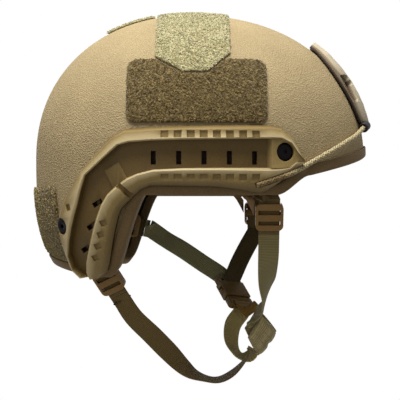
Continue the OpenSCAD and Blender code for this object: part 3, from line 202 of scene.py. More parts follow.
def outward(p):
    """Direction straight out of the shell at its points."""
    d = np.asarray(p, float) - MIDDLE
    x, y, z = d[..., 0], d[..., 1], d[..., 2]
    m, q = power_at(z), DOME_POWER - 1
    s = np.maximum(plan_sum(x, y), 1e-9) ** (m / DOME_POWER - 1)
    return unit(np.stack([
        s * np.abs(x / reach(x)) ** q / reach(x) * np.sign(x),
        s * np.abs(y / HALF_W) ** q / HALF_W * np.sign(y),
        np.abs(z / height_at(z)) ** (m - 1) / height_at(z) * np.where(z < 0, -1, 1)], -1))


def lift(p, h):
    """Points of the shell raised by a height."""
    return np.asarray(p, float) + outward(p) * np.asarray(h, float)[..., None]


def project(q):
    """Point of the shell on the line from its middle through q."""
    d = np.asarray(q, float) - MIDDLE
    m = power_at(d[..., 2])
    f = plan_sum(d[..., 0], d[..., 1]) ** (m / DOME_POWER)
    f = f + np.abs(d[..., 2] / height_at(d[..., 2])) ** m
    return MIDDLE + d / (f ** (1 / m))[..., None]


def height_over(q):
    """Height of points over the shell."""
    on = project(q)
    return ((q - on) * outward(on)).sum(-1)


def tangents(n):
    """Directions along and up the shell where n points outward."""
    v = unit(np.array([0.0, 0.0, 1.0]) - n * n[2])
    return np.cross(v, n), v


def beside(x, z, side=-1):
    """Point on the side of the shell."""
    x, z = np.broadcast_arrays(col(x), col(z))
    rest = left_over(z - WAIST_Z) ** (DOME_POWER / power_at(z - WAIST_Z))
    used = np.abs((x + WIDE_BACK) / reach(x + WIDE_BACK)) ** DOME_POWER
    return np.stack([x, side * HALF_W * np.clip(rest - used, 0, None) ** (1 / DOME_POWER), z], -1)


def before(y, z):
    """Point on the front of the shell."""
    y, z = np.broadcast_arrays(col(y), col(z))
    rest = left_over(z - WAIST_Z) ** (DOME_POWER / power_at(z - WAIST_Z))
    far = np.clip(rest - np.abs(y / HALF_W) ** DOME_POWER, 0, None) ** (1 / DOME_POWER)
    return np.stack([NOSE * far - WIDE_BACK, y, z], -1)


def above(x, y):
    """Point on the top of the shell."""
    x, y = np.broadcast_arrays(col(x), col(y))
    rest = np.clip(1 - plan_sum(x + WIDE_BACK, y), 0, None)
    return np.stack([x, y, WAIST_Z + DOME_H * rest ** (1 / DOME_POWER)], -1)


def plan_r(turn):
    """Radius of the plan at a turn from the front."""
    a = np.radians(turn)
    return plan_sum(np.cos(a), np.sin(a)) ** (-1 / DOME_POWER)


def around(turn, z):
    """Point of the shell at a turn from the front and a height."""
    turn, z = np.broadcast_arrays(col(turn), col(z))
    r = plan_r(turn) * left_over(z - WAIST_Z) ** (1 / power_at(z - WAIST_Z))
    a = np.radians(turn)
    return np.stack([r * np.cos(a) - WIDE_BACK, r * np.sin(a), z], -1)


def arch(x, angle):
    """Point of the cross-section at x, by its angle from the side."""
    x, a = np.broadcast_arrays(col(x), np.radians(col(angle)))
    k = np.clip(1 - np.abs((x + WIDE_BACK) / reach(x + WIDE_BACK)) ** DOME_POWER, 0, None) ** (1 / DOME_POWER)
    return np.stack([
        x, -HALF_W * k * np.sign(np.cos(a)) * np.abs(np.cos(a)) ** (2 / DOME_POWER),
        WAIST_Z + DOME_H * k * np.abs(np.sin(a)) ** (2 / DOME_POWER)], -1)


def arch_angle(x, z):
    """Angle from the side at which the cross-section at x has a height."""
    k = (1 - np.abs((x + WIDE_BACK) / reach(x + WIDE_BACK)) ** DOME_POWER) ** (1 / DOME_POWER)
    return np.degrees(np.arcsin(min(1.0, ((z - WAIST_Z) / (DOME_H * k)) ** (DOME_POWER / 2))))


def ease(t):
    """Soft step from 0 to 1."""
    t = np.clip(t, 0, 1)
    return t * t * (3 - 2 * t)


def rim_z(turn):
    """Height of the shell's rim for each turn from the front."""
    a = np.where(col(turn) > 180, 360 - col(turn), col(turn))
    t = a / TEMPLE_TURN
    brow = BROW_Z + (TEMPLE_Z - BROW_Z) * (np.sqrt(t * t + 0.04) - 0.2) / (math.sqrt(1.04) - 0.2)
    front = TEMPLE_Z + (EAR_Z - TEMPLE_Z) * ease((a - TEMPLE_TURN) / (EAR_FRONT - TEMPLE_TURN))
    drop = np.clip((a - EAR_BACK) / (FLANK_TURN - EAR_BACK), 0, None) ** 0.75
    behind = EAR_Z + (FLANK_Z - EAR_Z) * ease(drop)
    nape = FLANK_Z + (NAPE_Z - FLANK_Z) * ease((a - FLANK_TURN) / (180 - FLANK_TURN))
    return np.select([a < TEMPLE_TURN, a < EAR_FRONT, a < EAR_BACK, a < FLANK_TURN], [brow, front, EAR_Z, behind], nape)


def tilt_of(z):
    """Tilt over the waist at which the shell has a height."""
    d = z - WAIST_Z
    t = np.degrees(np.arcsin(np.abs(d / height_at(d)) ** (power_at(d) / 2)))
    return np.where(d < 0, -t, t)


def meridian(turn, tilt):
    """Point of the shell at a turn from the front and a tilt over the waist."""
    turn, tilt = np.broadcast_arrays(col(turn), col(tilt))
    m, h = power_at(tilt), np.where(tilt < 0, -NAPE_DEPTH, DOME_H)
    r = plan_r(turn) * np.clip(np.cos(np.radians(tilt)), 0, None) ** (2 / m)
    a = np.radians(turn)
    return np.stack([
        r * np.cos(a) - WIDE_BACK, r * np.sin(a),
        WAIST_Z + h * np.sin(np.radians(np.abs(tilt))) ** (2 / m)], -1)


# ---- Making pieces ----
FLAT_ENOUGH, SHARP_ENOUGH = 0.6, 28.0
PATH_STEPS = 6


def smooth_path(points, k):
    """Smooth curve through rows of numbers, with k steps for each stretch."""
    p = np.asarray(points, float)
    out = []
    for i in range(len(p) - 1):
        a, b, c, d = p[max(i - 1, 0)], p[i], p[i + 1], p[min(i + 2, len(p) - 1)]
        for t in np.arange(k) / k:
            out.append(0.5 * (2 * b + (c - a) * t + (2 * a - 5 * b + 4 * c - d) * t * t
                              + (3 * b - a - 3 * c + d) * t ** 3))
    out.append(p[-1])
    return np.array(out)


def smooth_faces(mesh, degrees=35.0):
    mesh.polygons.foreach_set("use_smooth", [True] * len(mesh.polygons))
    mesh.set_sharp_from_angle(angle=math.radians(degrees))


def new_piece(name, points, faces, degrees=35.0, uv=None):
    """Mesh piece from points in millimetres, with an own uv for each corner if given."""
    mesh = bpy.data.meshes.new(name)
    mesh.from_pydata([tuple(p) for p in np.asarray(points, float) * MM], [], [tuple(map(int, f)) for f in faces])
    mesh.validate()
    if uv is not None:
        corners = np.array([v for face in uv for v in face], float)
        mesh.uv_layers.new(name="lay").data.foreach_set("uv", corners.reshape(-1))
    smooth_faces(mesh, degrees)
    return shown(name, mesh)


def drop(piece):
    """Take away a piece that was only a pattern or a cutter."""
    mesh = piece.data
    bpy.data.objects.remove(piece)
    bpy.data.meshes.remove(mesh)


def tree_of(mesh):
    return BVHTree.FromPolygons([v.co for v in mesh.vertices], [tuple(f.vertices) for f in mesh.polygons])


def grid_faces(n, k, closed, first=0):
    """Faces between k rings of n points."""
    faces = []
    for j in range(k - 1):
        for i in range(n if closed else n - 1):
            a, b = first + j * n + i, first + j * n + (i + 1) % n
            faces.append((a, b, b + n, a + n))
    return faces


def turn_outwards(mesh):
    bm = bmesh.new()
    bm.from_mesh(mesh)
    bmesh.ops.remove_doubles(bm, verts=bm.verts, dist=2e-6)
    bmesh.ops.recalc_face_normals(bm, faces=bm.faces)
    bm.to_mesh(mesh)
    bm.free()


def finished_mesh(piece):
    """The piece's mesh with its modifiers carried out."""
    graph = bpy.context.evaluated_depsgraph_get()
    graph.update()
    mesh = bpy.data.meshes.new_from_object(
        piece.evaluated_get(graph), preserve_all_data_layers=True, depsgraph=graph)
    piece.modifiers.clear()
    old, piece.data = piece.data, mesh
    bpy.data.meshes.remove(old)
    mesh.name = piece.name
    return piece


def places_of(mesh):
    found = np.empty(len(mesh.vertices) * 3)
    mesh.vertices.foreach_get("co", found)
    return found.reshape(-1, 3)


def refined(node, name, bevel, cutters=()):
    """Copy of a moulded node, carved by the cutters if given, with its edges rounded."""
    bm = bmesh.new()
    bm.from_mesh(nodes[node].data)
    bmesh.ops.remove_doubles(bm, verts=bm.verts, dist=1e-5)
    bmesh.ops.dissolve_limit(bm, angle_limit=math.radians(FLAT_ENOUGH), verts=bm.verts, edges=bm.edges)
    mesh = bpy.data.meshes.new(name)
    bm.to_mesh(mesh)
    bm.free()
    mesh.materials.append(None)
    mesh.materials.append(None)
    piece = shown(name, mesh)
    for cutter in cutters:
        carving = piece.modifiers.new("carving", "BOOLEAN")
        carving.operation, carving.solver, carving.object = "DIFFERENCE", "EXACT", cutter
    soft = piece.modifiers.new("edges", "BEVEL")
    soft.material, soft.width, soft.segments, soft.use_clamp_overlap = 1, bevel * MM, 2, True
    soft.limit_method, soft.angle_limit = "ANGLE", math.radians(SHARP_ENOUGH)
    mesh = finished_mesh(piece).data
    rounded = [float(face.material_index == 1) for face in mesh.polygons]
    mesh.attributes.new("edge", "FLOAT", "FACE").data.foreach_set("value", rounded)
    mesh.attributes.new("height", "FLOAT", "POINT").data.foreach_set("value", height_over(places_of(mesh) / MM))
    smooth_faces(mesh, 40.0)
    return piece


def dress(piece, body, slot, material, *replaced):
    """Piece with one material, on its body, in the place of the nodes named; the slot is not used."""
    piece.data.materials.clear()
    piece.data.materials.append(material)
    piece.data.polygons.foreach_set("material_index", [0] * len(piece.data.polygons))
    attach(piece, body)
    if replaced:
        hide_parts(*replaced)
    return piece


def lengths_along(spots):
    """Length of the way to each point of a path."""
    return np.concatenate([[0], np.cumsum(np.linalg.norm(np.diff(spots, axis=0), axis=1))])


def frames_along(spots, wide):
    """Directions along, across and out of a path, from rough width directions."""
    along = unit(np.gradient(spots, axis=0))
    across = unit(wide - along * (wide * along).sum(1, keepdims=True))
    return along, across, np.cross(along, across)


def ribbon(name, path, w=WEB_W, t=WEB_T):
    """Webbing along rows of place and width direction, with its lay in metres as uv."""
    line = smooth_path(path, PATH_STEPS)
    spots = line[:, :3]
    _, across, out = frames_along(spots, line[:, 3:])
    steps = lengths_along(spots) * MM
    half = [(-0.5, 0.0), (-0.5 + 0.3 / w, 0.82), (-0.44, 1.0), (-0.28, 0.9), (0.0, 0.88), (0.28, 0.9), (0.44, 1.0),
            (0.5 - 0.3 / w, 0.82), (0.5, 0.0)]
    outline = half + [(x, -z) for x, z in half[-2:0:-1]]
    n, k = len(outline), len(line)
    points = np.stack([spots + across * (x * w) + out * (z * t / 2) for x, z in outline], 1).reshape(-1, 3)
    wide = [x * w * MM for x, _ in outline]
    faces, uv = [], []
    for j in range(k - 1):
        for i in range(n):
            after = (i + 1) % n
            a, b = j * n + i, j * n + after
            faces.append((a, a + n, b + n, b))
            uv.append([(steps[j], wide[i]), (steps[j + 1], wide[i]), (steps[j + 1], wide[after]),
                       (steps[j], wide[after])])
    for j, order in ((0, 1), (k - 1, -1)):
        faces.append(tuple(j * n + i for i in range(n))[::order])
        uv.append([(steps[j], wide[i]) for i in range(n)][::order])
    return new_piece(name, points, faces, 50.0, uv)


def even_steps(path, pitch):
    """Path with its points at even steps, about a pitch apart."""
    p = np.asarray(path, float)
    far = lengths_along(p[:, :3])
    at = np.linspace(0, far[-1], max(2, int(round(far[-1] / pitch)) + 1))
    return np.stack([np.interp(at, far, p[:, k]) for k in range(p.shape[1])], 1)


def tube(name, path, d, sides=14, strands=0, pitch=0.0, relief=0.0, ups=None):
    """Round cord along a path, closed at both ends, with its lay as uv: along in metres, round in turns."""
    spots = np.asarray(path, float)
    _, up, out = frames_along(spots, np.broadcast_to([0.0, 0.1, 1.0] if ups is None else ups, spots.shape))
    steps = lengths_along(spots)
    angles = 2 * np.pi * np.arange(sides) / sides
    swell = np.zeros((len(spots), sides))
    if strands:
        turn, far = strands * angles[None, :], 2 * np.pi * steps[:, None] / pitch
        swell = relief * (np.maximum(np.cos(turn + far), np.cos(turn - far)) - 1)
    points = np.stack([spots + (up * np.cos(a) + out * np.sin(a)) * (d / 2 + swell[:, i:i + 1])
                       for i, a in enumerate(angles)], 1).reshape(-1, 3)
    faces = grid_faces(sides, len(spots), True)
    uv = []
    for j in range(len(spots) - 1):
        for i in range(sides):
            u0, u1, v0, v1 = steps[j] * MM, steps[j + 1] * MM, i / sides, (i + 1) / sides
            uv.append([(u0, v0), (u0, v1), (u1, v1), (u1, v0)])
    for base, order in ((0, -1), ((len(spots) - 1) * sides, 1)):
        faces.append(tuple(range(base, base + sides))[::order])
        uv.append([(0.0, i / sides) for i in range(sides)])
    return new_piece(name, points, faces, 60.0, uv), steps[-1]


def from_rim(k, n):
    """Count of rows from the rim for each point of a grid of k rows of n."""
    j, i = np.arange(k), np.arange(n)
    return np.minimum(np.minimum(j, j[::-1])[:, None], np.minimum(i, i[::-1])[None, :])


def closed_sheet(name, top, low, n, degrees=60.0, lay=None):
    """Closed piece between two grids with rows of n points, with the lay of each place as uv if given."""
    top, low = np.reshape(top, (-1, 3)), np.reshape(low, (-1, 3))
    count, k = len(top), len(top) // n
    upper = grid_faces(n, k, False)
    lower = [tuple(v + count for v in face[::-1]) for face in upper]
    edge = list(range(n)) + [j * n + n - 1 for j in range(1, k)]
    edge += [(k - 1) * n + i for i in range(n - 2, -1, -1)] + [j * n for j in range(k - 2, 0, -1)]
    wall = [(a, a + count, b + count, b) for a, b in zip(edge, edge[1:] + edge[:1])]
    faces = upper + lower + wall
    uv = None if lay is None else [[lay[v % count] for v in face] for face in faces]
    piece = new_piece(name, np.concatenate([top, low]), faces, degrees, uv)
    turn_outwards(piece.data)
    return piece


# ---- Finishes ----
def value_group(name, inputs, outputs):
    """Empty node group: its inputs are numbers with a default, or vectors without one, its outputs numbers."""
    group = bpy.data.node_groups.new(name, "ShaderNodeTree")
    for title, default in inputs.items():
        kind = "NodeSocketVector" if default is None else "NodeSocketFloat"
        socket = group.interface.new_socket(name=title, in_out="INPUT", socket_type=kind)
        if default is not None:
            socket.default_value = default
    for title in outputs:
        group.interface.new_socket(name=title, in_out="OUTPUT", socket_type="NodeSocketFloat")
    return group, group.nodes.new("NodeGroupInput"), group.nodes.new("NodeGroupOutput")


def sums(tree, operation, a, b=None):
    links = [(0, a)] + ([] if b is None else [(1, b)])
    return put(tree, "ShaderNodeMath", links, operation=operation).outputs[0]


def noise(tree, place, scale, detail, roughness=0.5, output="Fac"):
    return put(tree, "ShaderNodeTexNoise", [
        ("Vector", place), ("Scale", scale), ("Detail", detail), ("Roughness", roughness)]).outputs[output]


def ranged(tree, value, low=0.0, high=1.0, to_low=0.0, to_high=1.0):
    """Value carried from one range to another and held at its ends."""
    return put(tree, "ShaderNodeMapRange", [
        ("Value", value), ("From Min", low), ("From Max", high), ("To Min", to_low), ("To Max", to_high)]).outputs[0]


def attribute(tree, name):
    return put(tree, "ShaderNodeAttribute", attribute_name=name).outputs["Fac"]


def object_place(tree):
    return put(tree, "ShaderNodeTexCoord").outputs["Object"]


def lay_of(tree):
    return put(tree, "ShaderNodeUVMap", uv_map="lay").outputs["UV"]


def give(group, end, **values):
    for title, value in values.items():
        group.links.new(value, end.inputs[title])
    return group


def make_grain():
    """Fine sandy grain with soft patches: a mask of specks, a slow mask and a height."""
    group, start, end = value_group(
        "sandy_grain", {"Vector": None, "Size": 900.0, "Patch": 30.0}, ("Specks", "Patches", "Height"))
    place, size = start.outputs["Vector"], start.outputs["Size"]
    fine = noise(group, place, size, 3.0, 0.65)
    slow = noise(group, place, start.outputs["Patch"], 4.0, 0.6)
    cells = put(group, "ShaderNodeTexVoronoi", [("Vector", place), ("Scale", size)]).outputs["Distance"]
    return give(group, end, Specks=fine, Patches=slow, Height=sums(group, "MULTIPLY", fine, cells))


def make_weave():
    """Ribs across webbing and fine threads along it, from the lay of the strap."""
    group, start, end = value_group(
        "ribbed_weave", {"Lay": None, "Rib": 0.0013, "Thread": 0.0008}, ("Ribs", "Threads", "Height"))
    parts = put(group, "ShaderNodeSeparateXYZ", [(0, start.outputs["Lay"])])
    shift = sums(group, "MULTIPLY", noise(group, start.outputs["Lay"], 1400.0, 2.0), 1.3)

    def wave(position, pitch):
        turns = sums(group, "MULTIPLY", sums(group, "DIVIDE", position, pitch), 2 * math.pi)
        return ranged(group, sums(group, "SINE", sums(group, "ADD", turns, shift)), -1.0)
    ribs = wave(parts.outputs[0], start.outputs["Rib"])
    threads = wave(parts.outputs[1], start.outputs["Thread"])
    height = sums(group, "ADD", sums(group, "MULTIPLY", ribs, 0.7), sums(group, "MULTIPLY", threads, 0.3))
    return give(group, end, Ribs=ribs, Threads=threads, Height=height)


def make_edge_wear_and_shine():
    """Mask of the rounded edges of a moulding, broken up by patches: rubbed-edge wear, and on the rails a painted
    highlight along the lips.
    """
    group, start, end = value_group("rubbed_edges", {"Vector": None, "Size": 160.0}, ("Worn",))
    broken = ranged(group, noise(group, start.outputs["Vector"], start.outputs["Size"], 4.0), 0.3, 0.6, 0.25)
    return give(group, end, Worn=sums(group, "MULTIPLY", attribute(group, "edge"), broken))


GRAIN, WEAVE, EDGE_WEAR_AND_SHINE = make_grain(), make_weave(), make_edge_wear_and_shine()


ROUGHNESS_SPREAD, SHEEN_ROUGHNESS = 0.06, 0.45
# The cord end tone darkens each cord's last stretch, where it lies in the rail's groove.
# The deep shade tone is painted shade, near black, for the slots and pits of the mouldings.
DEEP_SHADE_TONE, CORD_END_TONE, WHITE = (34, 22, 18), (176, 158, 128), (255, 255, 255)
BRAID_PITCH = 0.0055


def start_material(name, roughness, sheen=0.0, specular=0.4):
    material = bpy.data.materials.new(name)
    material.use_nodes = True
    shader = material.node_tree.nodes["Principled BSDF"]
    shader.inputs["Roughness"].default_value = roughness
    shader.inputs["Specular IOR Level"].default_value = specular
    if sheen:
        shader.inputs["Sheen Weight"].default_value = sheen
        shader.inputs["Sheen Roughness"].default_value = SHEEN_ROUGHNESS
    return material, material.node_tree, shader


def end_material(material, colour, height, depth):
    """Material closed with its colour and a bump of its height."""
    tree = material.node_tree
    shader = tree.nodes["Principled BSDF"]
    tree.links.new(colour, shader.inputs["Base Color"])
    raised = put(tree, "ShaderNodeBump", [("Height", height), ("Distance", depth), ("Strength", 1.0)])
    tree.links.new(raised.outputs["Normal"], shader.inputs["Normal"])
    return material


def srgb(colour):
    """Linear values of a colour given as it looks on a screen, from 0 to 255."""
    return tuple((c / 255 / 12.92) if c / 255 <= 0.04045 else ((c / 255 + 0.055) / 1.055) ** 2.4 for c in colour)


def blended(tree, mask, dark, light, low=0.3, high=0.7):
    """Colour between two screen colours by a mask."""
    ramp = put(tree, "ShaderNodeValToRGB", [(0, mask)])
    for stop, position, colour in zip(ramp.color_ramp.elements, (low, high), (dark, light)):
        stop.position, stop.color = position, (*srgb(colour), 1.0)
    return ramp.outputs["Color"]


def mixed_colour(tree, factor, a, b, how="MIX"):
    """Mix of two colours, each a socket or a screen colour."""
    node = put(tree, "ShaderNodeMix", data_type="RGBA", blend_type=how)
    for socket, source in ((node.inputs[0], factor), (node.inputs[6], a), (node.inputs[7], b)):
        if isinstance(source, bpy.types.NodeSocket):
            tree.links.new(source, socket)
        else:
            socket.default_value = source if isinstance(source, float) else (*srgb(source), 1.0)
    return node.outputs[2]


def moulded(name, dark, light, size, patch, depth, roughness, sheen=0.0, specular=0.35, worn=None, recess_shade=None,
            low=4.0, high=10.5, rail_shadow=None):
    """Painted or moulded surface with grain, specks and patches. Worn is the tone of rubbed edges, on the rails also a
    painted highlight, and the painted highlight on crests where a recess shade is given too; the recess shade is
    painted shade that darkens from the height high down to low, near black below low; the rail shadow tone is painted
    shadow on the shell under the rails."""
    material, tree, shader = start_material(name, roughness, sheen, specular)
    place = object_place(tree)
    grain = put(tree, "ShaderNodeGroup", [("Vector", place), ("Size", size), ("Patch", patch)], node_tree=GRAIN)
    speckled = blended(tree, grain.outputs["Specks"], dark, light, 0.36, 0.66)
    colour = mixed_colour(tree, 0.35, speckled, blended(tree, grain.outputs["Patches"], dark, light))
    # Painted shade: the recess tone darkens the moulding from its top height down into its recesses, and pits go near
    # black.
    if recess_shade is not None:
        height = attribute(tree, "height")
        colour = mixed_colour(tree, ranged(tree, height, high, low), colour, recess_shade, "MULTIPLY")
        colour = mixed_colour(tree, ranged(tree, height, low, low - 1.2), colour, DEEP_SHADE_TONE)
        # Painted highlight: the worn tone laid along the crests, at and above the top height.
        colour = mixed_colour(tree, ranged(tree, height, high - 0.7, high + 0.3, 0.0, 0.5), colour, worn)
    # Lighter rounded edges: rubbed-edge wear, and on the rails a painted highlight along the lips.
    if worn is not None:
        rubbed = put(tree, "ShaderNodeGroup", [("Vector", place)], node_tree=EDGE_WEAR_AND_SHINE)
        colour = mixed_colour(tree, sums(tree, "MULTIPLY", rubbed.outputs["Worn"], 0.9), colour, worn)
    # Painted shadow on the shell under and around the rails.
    if rail_shadow is not None:
        colour = mixed_colour(tree, attribute(tree, "covered"), colour, rail_shadow)
    rough = ranged(tree, grain.outputs["Patches"], 0.0, 1.0, roughness - ROUGHNESS_SPREAD,
                   roughness + ROUGHNESS_SPREAD)
    tree.links.new(rough, shader.inputs["Roughness"])
    return end_material(material, colour, grain.outputs["Height"], depth)


def woven(name, dark, light, rib=0.0013, thread=0.0008, depth=0.0003):
    """Webbing: ribs and threads by its lay, with worn and dusty stretches."""
    material, tree, _ = start_material(name, 0.85, 0.25, 0.2)
    cloth = put(tree, "ShaderNodeGroup", [("Lay", lay_of(tree)), ("Rib", rib), ("Thread", thread)], node_tree=WEAVE)
    worn = noise(tree, object_place(tree), 70.0, 4.0)
    ribs = blended(tree, cloth.outputs["Ribs"], dark, light, 0.1, 0.9)
    threads = blended(tree, cloth.outputs["Threads"], dark, light, 0.0, 1.0)
    both = mixed_colour(tree, 0.3, ribs, threads)
    colour = mixed_colour(tree, sums(tree, "MULTIPLY", worn, 0.5), both, dark)
    return end_material(material, colour, cloth.outputs["Height"], depth)


def pile_cloth(name, dark, light, base, size=420.0):
    """Tangled loop pile: strands of two tones over a darker ground."""
    material, tree, _ = start_material(name, 0.95, 0.35, 0.12)
    place = object_place(tree)
    moved = mixed_colour(tree, 0.012, place, noise(tree, place, size * 0.4, 2.0, output="Color"), "ADD")
    strands = put(tree, "ShaderNodeTexVoronoi", [("Vector", moved), ("Scale", size)], feature="SMOOTH_F1")
    strands = strands.outputs["Distance"]
    specks = noise(tree, place, size * 2.2, 3.0)
    tones = blended(tree, specks, dark, light, 0.35, 0.65)
    ground = blended(tree, strands, WHITE, base, 0.25, 0.75)
    colour = mixed_colour(tree, 0.8, tones, ground, "MULTIPLY")
    return end_material(material, colour, sums(tree, "SUBTRACT", specks, strands), 0.0012)


def knitted(name, dark, light):
    """Brushed knit for pads, on object places."""
    material, tree, _ = start_material(name, 0.95, 0.5, 0.15)
    place = object_place(tree)
    rows = put(tree, "ShaderNodeTexWave", [("Vector", place), ("Scale", 260.0), ("Distortion", 2.5), ("Detail", 2.0)],
               bands_direction="Z")
    specks = noise(tree, place, 900.0, 3.0)
    height = sums(tree, "ADD", rows.outputs["Fac"], specks)
    return end_material(material, blended(tree, specks, dark, light), height, 0.00025)


def braided(name, dark, light, crest_glint, length):
    """Braided cover of an elastic cord, by its lay: two sets of strands that cross, with a painted highlight on the
    crests of one set, darker over its last stretch, where it lies in the rail's groove.
    """
    material, tree, _ = start_material(name, 0.7, 0.2, 0.3)
    parts = put(tree, "ShaderNodeSeparateXYZ", [(0, lay_of(tree))])
    along = sums(tree, "MULTIPLY", parts.outputs[0], 2 * math.pi / BRAID_PITCH)
    turned = sums(tree, "MULTIPLY", sums(tree, "MULTIPLY", parts.outputs[1], 2 * math.pi), 5.0)
    left, right = (sums(tree, "SINE", sums(tree, "ADD", turned, sums(tree, "MULTIPLY", along, sense)))
                   for sense in (2.0, -2.0))
    mask = ranged(tree, sums(tree, "MAXIMUM", left, right), -1.0)
    # Painted highlight: a pale tone on the crests of one set of strands.
    crest_glints = sums(tree, "MULTIPLY", sums(tree, "GREATER_THAN", left, 0.75), 0.5)
    tone = mixed_colour(tree, crest_glints, blended(tree, mask, dark, light, 0.25, 0.85), crest_glint)
    # Darker over the cord's last stretch, which lies in the rail's groove.
    toward_end = ranged(tree, parts.outputs[0], length - 0.04, length - 0.02)
    return end_material(material, mixed_colour(tree, toward_end, tone, CORD_END_TONE, "MULTIPLY"), mask, 0.0003)


def yarn(name, dark, light):
    """Finish of the loops: each one has its own tone, mixed with slow patches."""
    material, tree, _ = start_material(name, 0.9, 0.3, 0.15)
    place = object_place(tree)
    worn = noise(tree, place, 90.0, 4.0)
    both = sums(tree, "ADD", sums(tree, "MULTIPLY", attribute(tree, "tone"), 0.65), sums(tree, "MULTIPLY", worn, 0.35))
    fibre = noise(tree, place, 4000.0, 2.0)
    return end_material(material, blended(tree, both, dark, light, 0.15, 0.85), fibre, 0.0001)


# The dark tone under the rails is painted shadow, so that the rail slots look dark.
SHELL_PAINT = moulded("shell_paint", (144, 126, 92), (178, 159, 120), 900.0, 26.0, 0.0008, 0.8, specular=0.25,
                      rail_shadow=(40, 26, 20))
SHELL_INSIDE = moulded("shell_inside", (34, 30, 25), (50, 45, 37), 500.0, 30.0, 0.0004, 0.8)
TRIM_RUBBER = moulded("trim_rubber", (98, 79, 50), (120, 99, 66), 900.0, 60.0, 0.0002, 0.7, specular=0.2)
# Rails: the recess tone is painted shade in the channel and slots; the worn tone is rubbed-edge wear and a painted
# highlight on the lips.
RAIL_PLASTIC = moulded("rail_plastic", (126, 106, 62), (152, 130, 82), 1300.0, 40.0, 0.0002, 0.5,
                       specular=0.25, worn=(222, 204, 160), recess_shade=(160, 146, 104))
# Plate: the recess tone is painted shade below its top height; the worn tone is rubbed-edge wear and a painted
# highlight on its crests.
PLATE_PLASTIC = moulded("plate_plastic", (126, 112, 86), (152, 138, 108), 1300.0, 50.0, 0.0002, 0.5,
                        worn=(196, 184, 158), recess_shade=(128, 108, 86), low=3.2, high=5.4)
GASKET_RUBBER = moulded("gasket_rubber", (30, 27, 24), (42, 38, 33), 900.0, 60.0, 0.0001, 0.8)
BLACK_STEEL = moulded("black_steel", (12, 6, 10), (20, 12, 16), 2400.0, 120.0, 0.0001, 0.25, specular=0.06)
BLACK_RUBBER = moulded("black_rubber", (20, 19, 19), (32, 30, 30), 1500.0, 90.0, 0.0001, 0.6)
BLACK_PLASTIC = moulded("black_plastic", (26, 26, 26), (38, 37, 36), 1600.0, 60.0, 0.0002, 0.5)
BUCKLE_PLASTIC = moulded("buckle_plastic", (84, 62, 22), (112, 86, 38), 1600.0, 60.0, 0.0002, 0.55,
                         specular=0.15, worn=(150, 122, 70))
SLIDER_PLASTIC = moulded("slider_plastic", (116, 86, 46), (142, 110, 64), 1600.0, 70.0, 0.0002, 0.45,
                         specular=0.2, worn=(172, 140, 92))
PLAIN_STEEL = moulded("plain_steel", (90, 90, 92), (120, 120, 122), 2000.0, 90.0, 0.0001, 0.4, specular=0.6)
LOOP_PILE = pile_cloth("loop_pile", (100, 82, 46), (142, 122, 76), (88, 70, 38))
# Paler pile for the panels over the top: painted light, as they face the light from above.
TOP_LIT_PILE = pile_cloth("pale_pile", (158, 150, 108), (204, 196, 154), (190, 182, 150))
HOOK_PILE = pile_cloth("hook_pile", (22, 22, 22), (40, 40, 40), (14, 14, 14), 900.0)
PAD_KNIT = knitted("pad_knit", (26, 26, 27), (46, 46, 47))
CUP_KNIT = knitted("cup_knit", (110, 94, 52), (140, 122, 72))
STRAP_WEAVE = woven("strap_weave", (110, 100, 62), (162, 150, 102))
BROWN_WEAVE = woven("brown_weave", (98, 80, 44), (126, 106, 64))
GREY_WEAVE = woven("grey_weave", (124, 118, 82), (176, 170, 128))
# Darker webbing: painted shade for the far side's front strap, which lies in shadow; the anchor and the hanger inside
# the shell take the same tone.
DARK_SHADE_WEAVE = woven("dark_weave", (62, 50, 26), (94, 80, 46))
AMBER_WEAVE = woven("amber_weave", (126, 92, 34), (166, 128, 60))
TAN_WEAVE = woven("tan_weave", (156, 138, 82), (204, 186, 124))
NYLON_SHEET = moulded("nylon_sheet", (112, 86, 54), (140, 112, 74), 2200.0, 70.0, 0.00015, 0.65, sheen=0.15)
CUP_WEAVE = woven("cup_weave", (140, 126, 82), (206, 192, 144), 0.0016, 0.0009, 0.0004)
CUP_BINDING = woven("cup_binding", (150, 134, 84), (200, 182, 128), 0.0011, 0.0008, 0.0003)
BLACK_BINDING = moulded("black_binding", (24, 24, 25), (42, 42, 42), 2600.0, 90.0, 0.00015, 0.85, sheen=0.4)
THREAD = moulded("thread", (120, 106, 70), (158, 142, 102), 3000.0, 200.0, 0.0001, 0.7, sheen=0.3)
BLACK_THREAD = moulded("black_thread", (34, 34, 35), (58, 57, 56), 3000.0, 200.0, 0.0001, 0.7, sheen=0.3)


# ---- Elastic cords, from the hook on the plate to the grooves of the rail ----
GROOVE_AT, GROOVE_SLOPE, RAIL_LIP = (52.0, 6.8), 18.5, 11.0
PLATE_HALF, PLATE_LOW = 44.0, 50.0
GROOVE_FLOOR = RAIL_LIP - 4.2


def groove_point(s):
    """Middle of the cord in the rail's groove, at a way s from the groove's middle."""
    p = beside(GROOVE_AT[0], GROOVE_AT[1])
    n = outward(p)
    u, v = tangents(n)
    slope = math.radians(GROOVE_SLOPE)
    return p + n * (GROOVE_FLOOR + CORD_D / 2 + SEAT) + (u * math.cos(slope) + v * math.sin(slope)) * s


def mirrored(points):
    return np.asarray(points, float) * np.array([1.0, -1.0, 1.0])


def cord_path(side):
    """Way of a cord from its hook over the shell into the groove."""
    start = lift(before(-PLATE_HALF * 0.74 - 5.5, PLATE_LOW - 1), 4.2)
    route = [start] + [lift(beside(x, z), 3.0) for x, z in
                       [(121, 42), (113, 37.2), (104, 31.8), (94, 26.2), (84, 20.6)]]
    route += [groove_point(s) for s in (15, 5, -5, -14)]
    return smooth_path(np.array(route) if side < 0 else mirrored(route), 3)


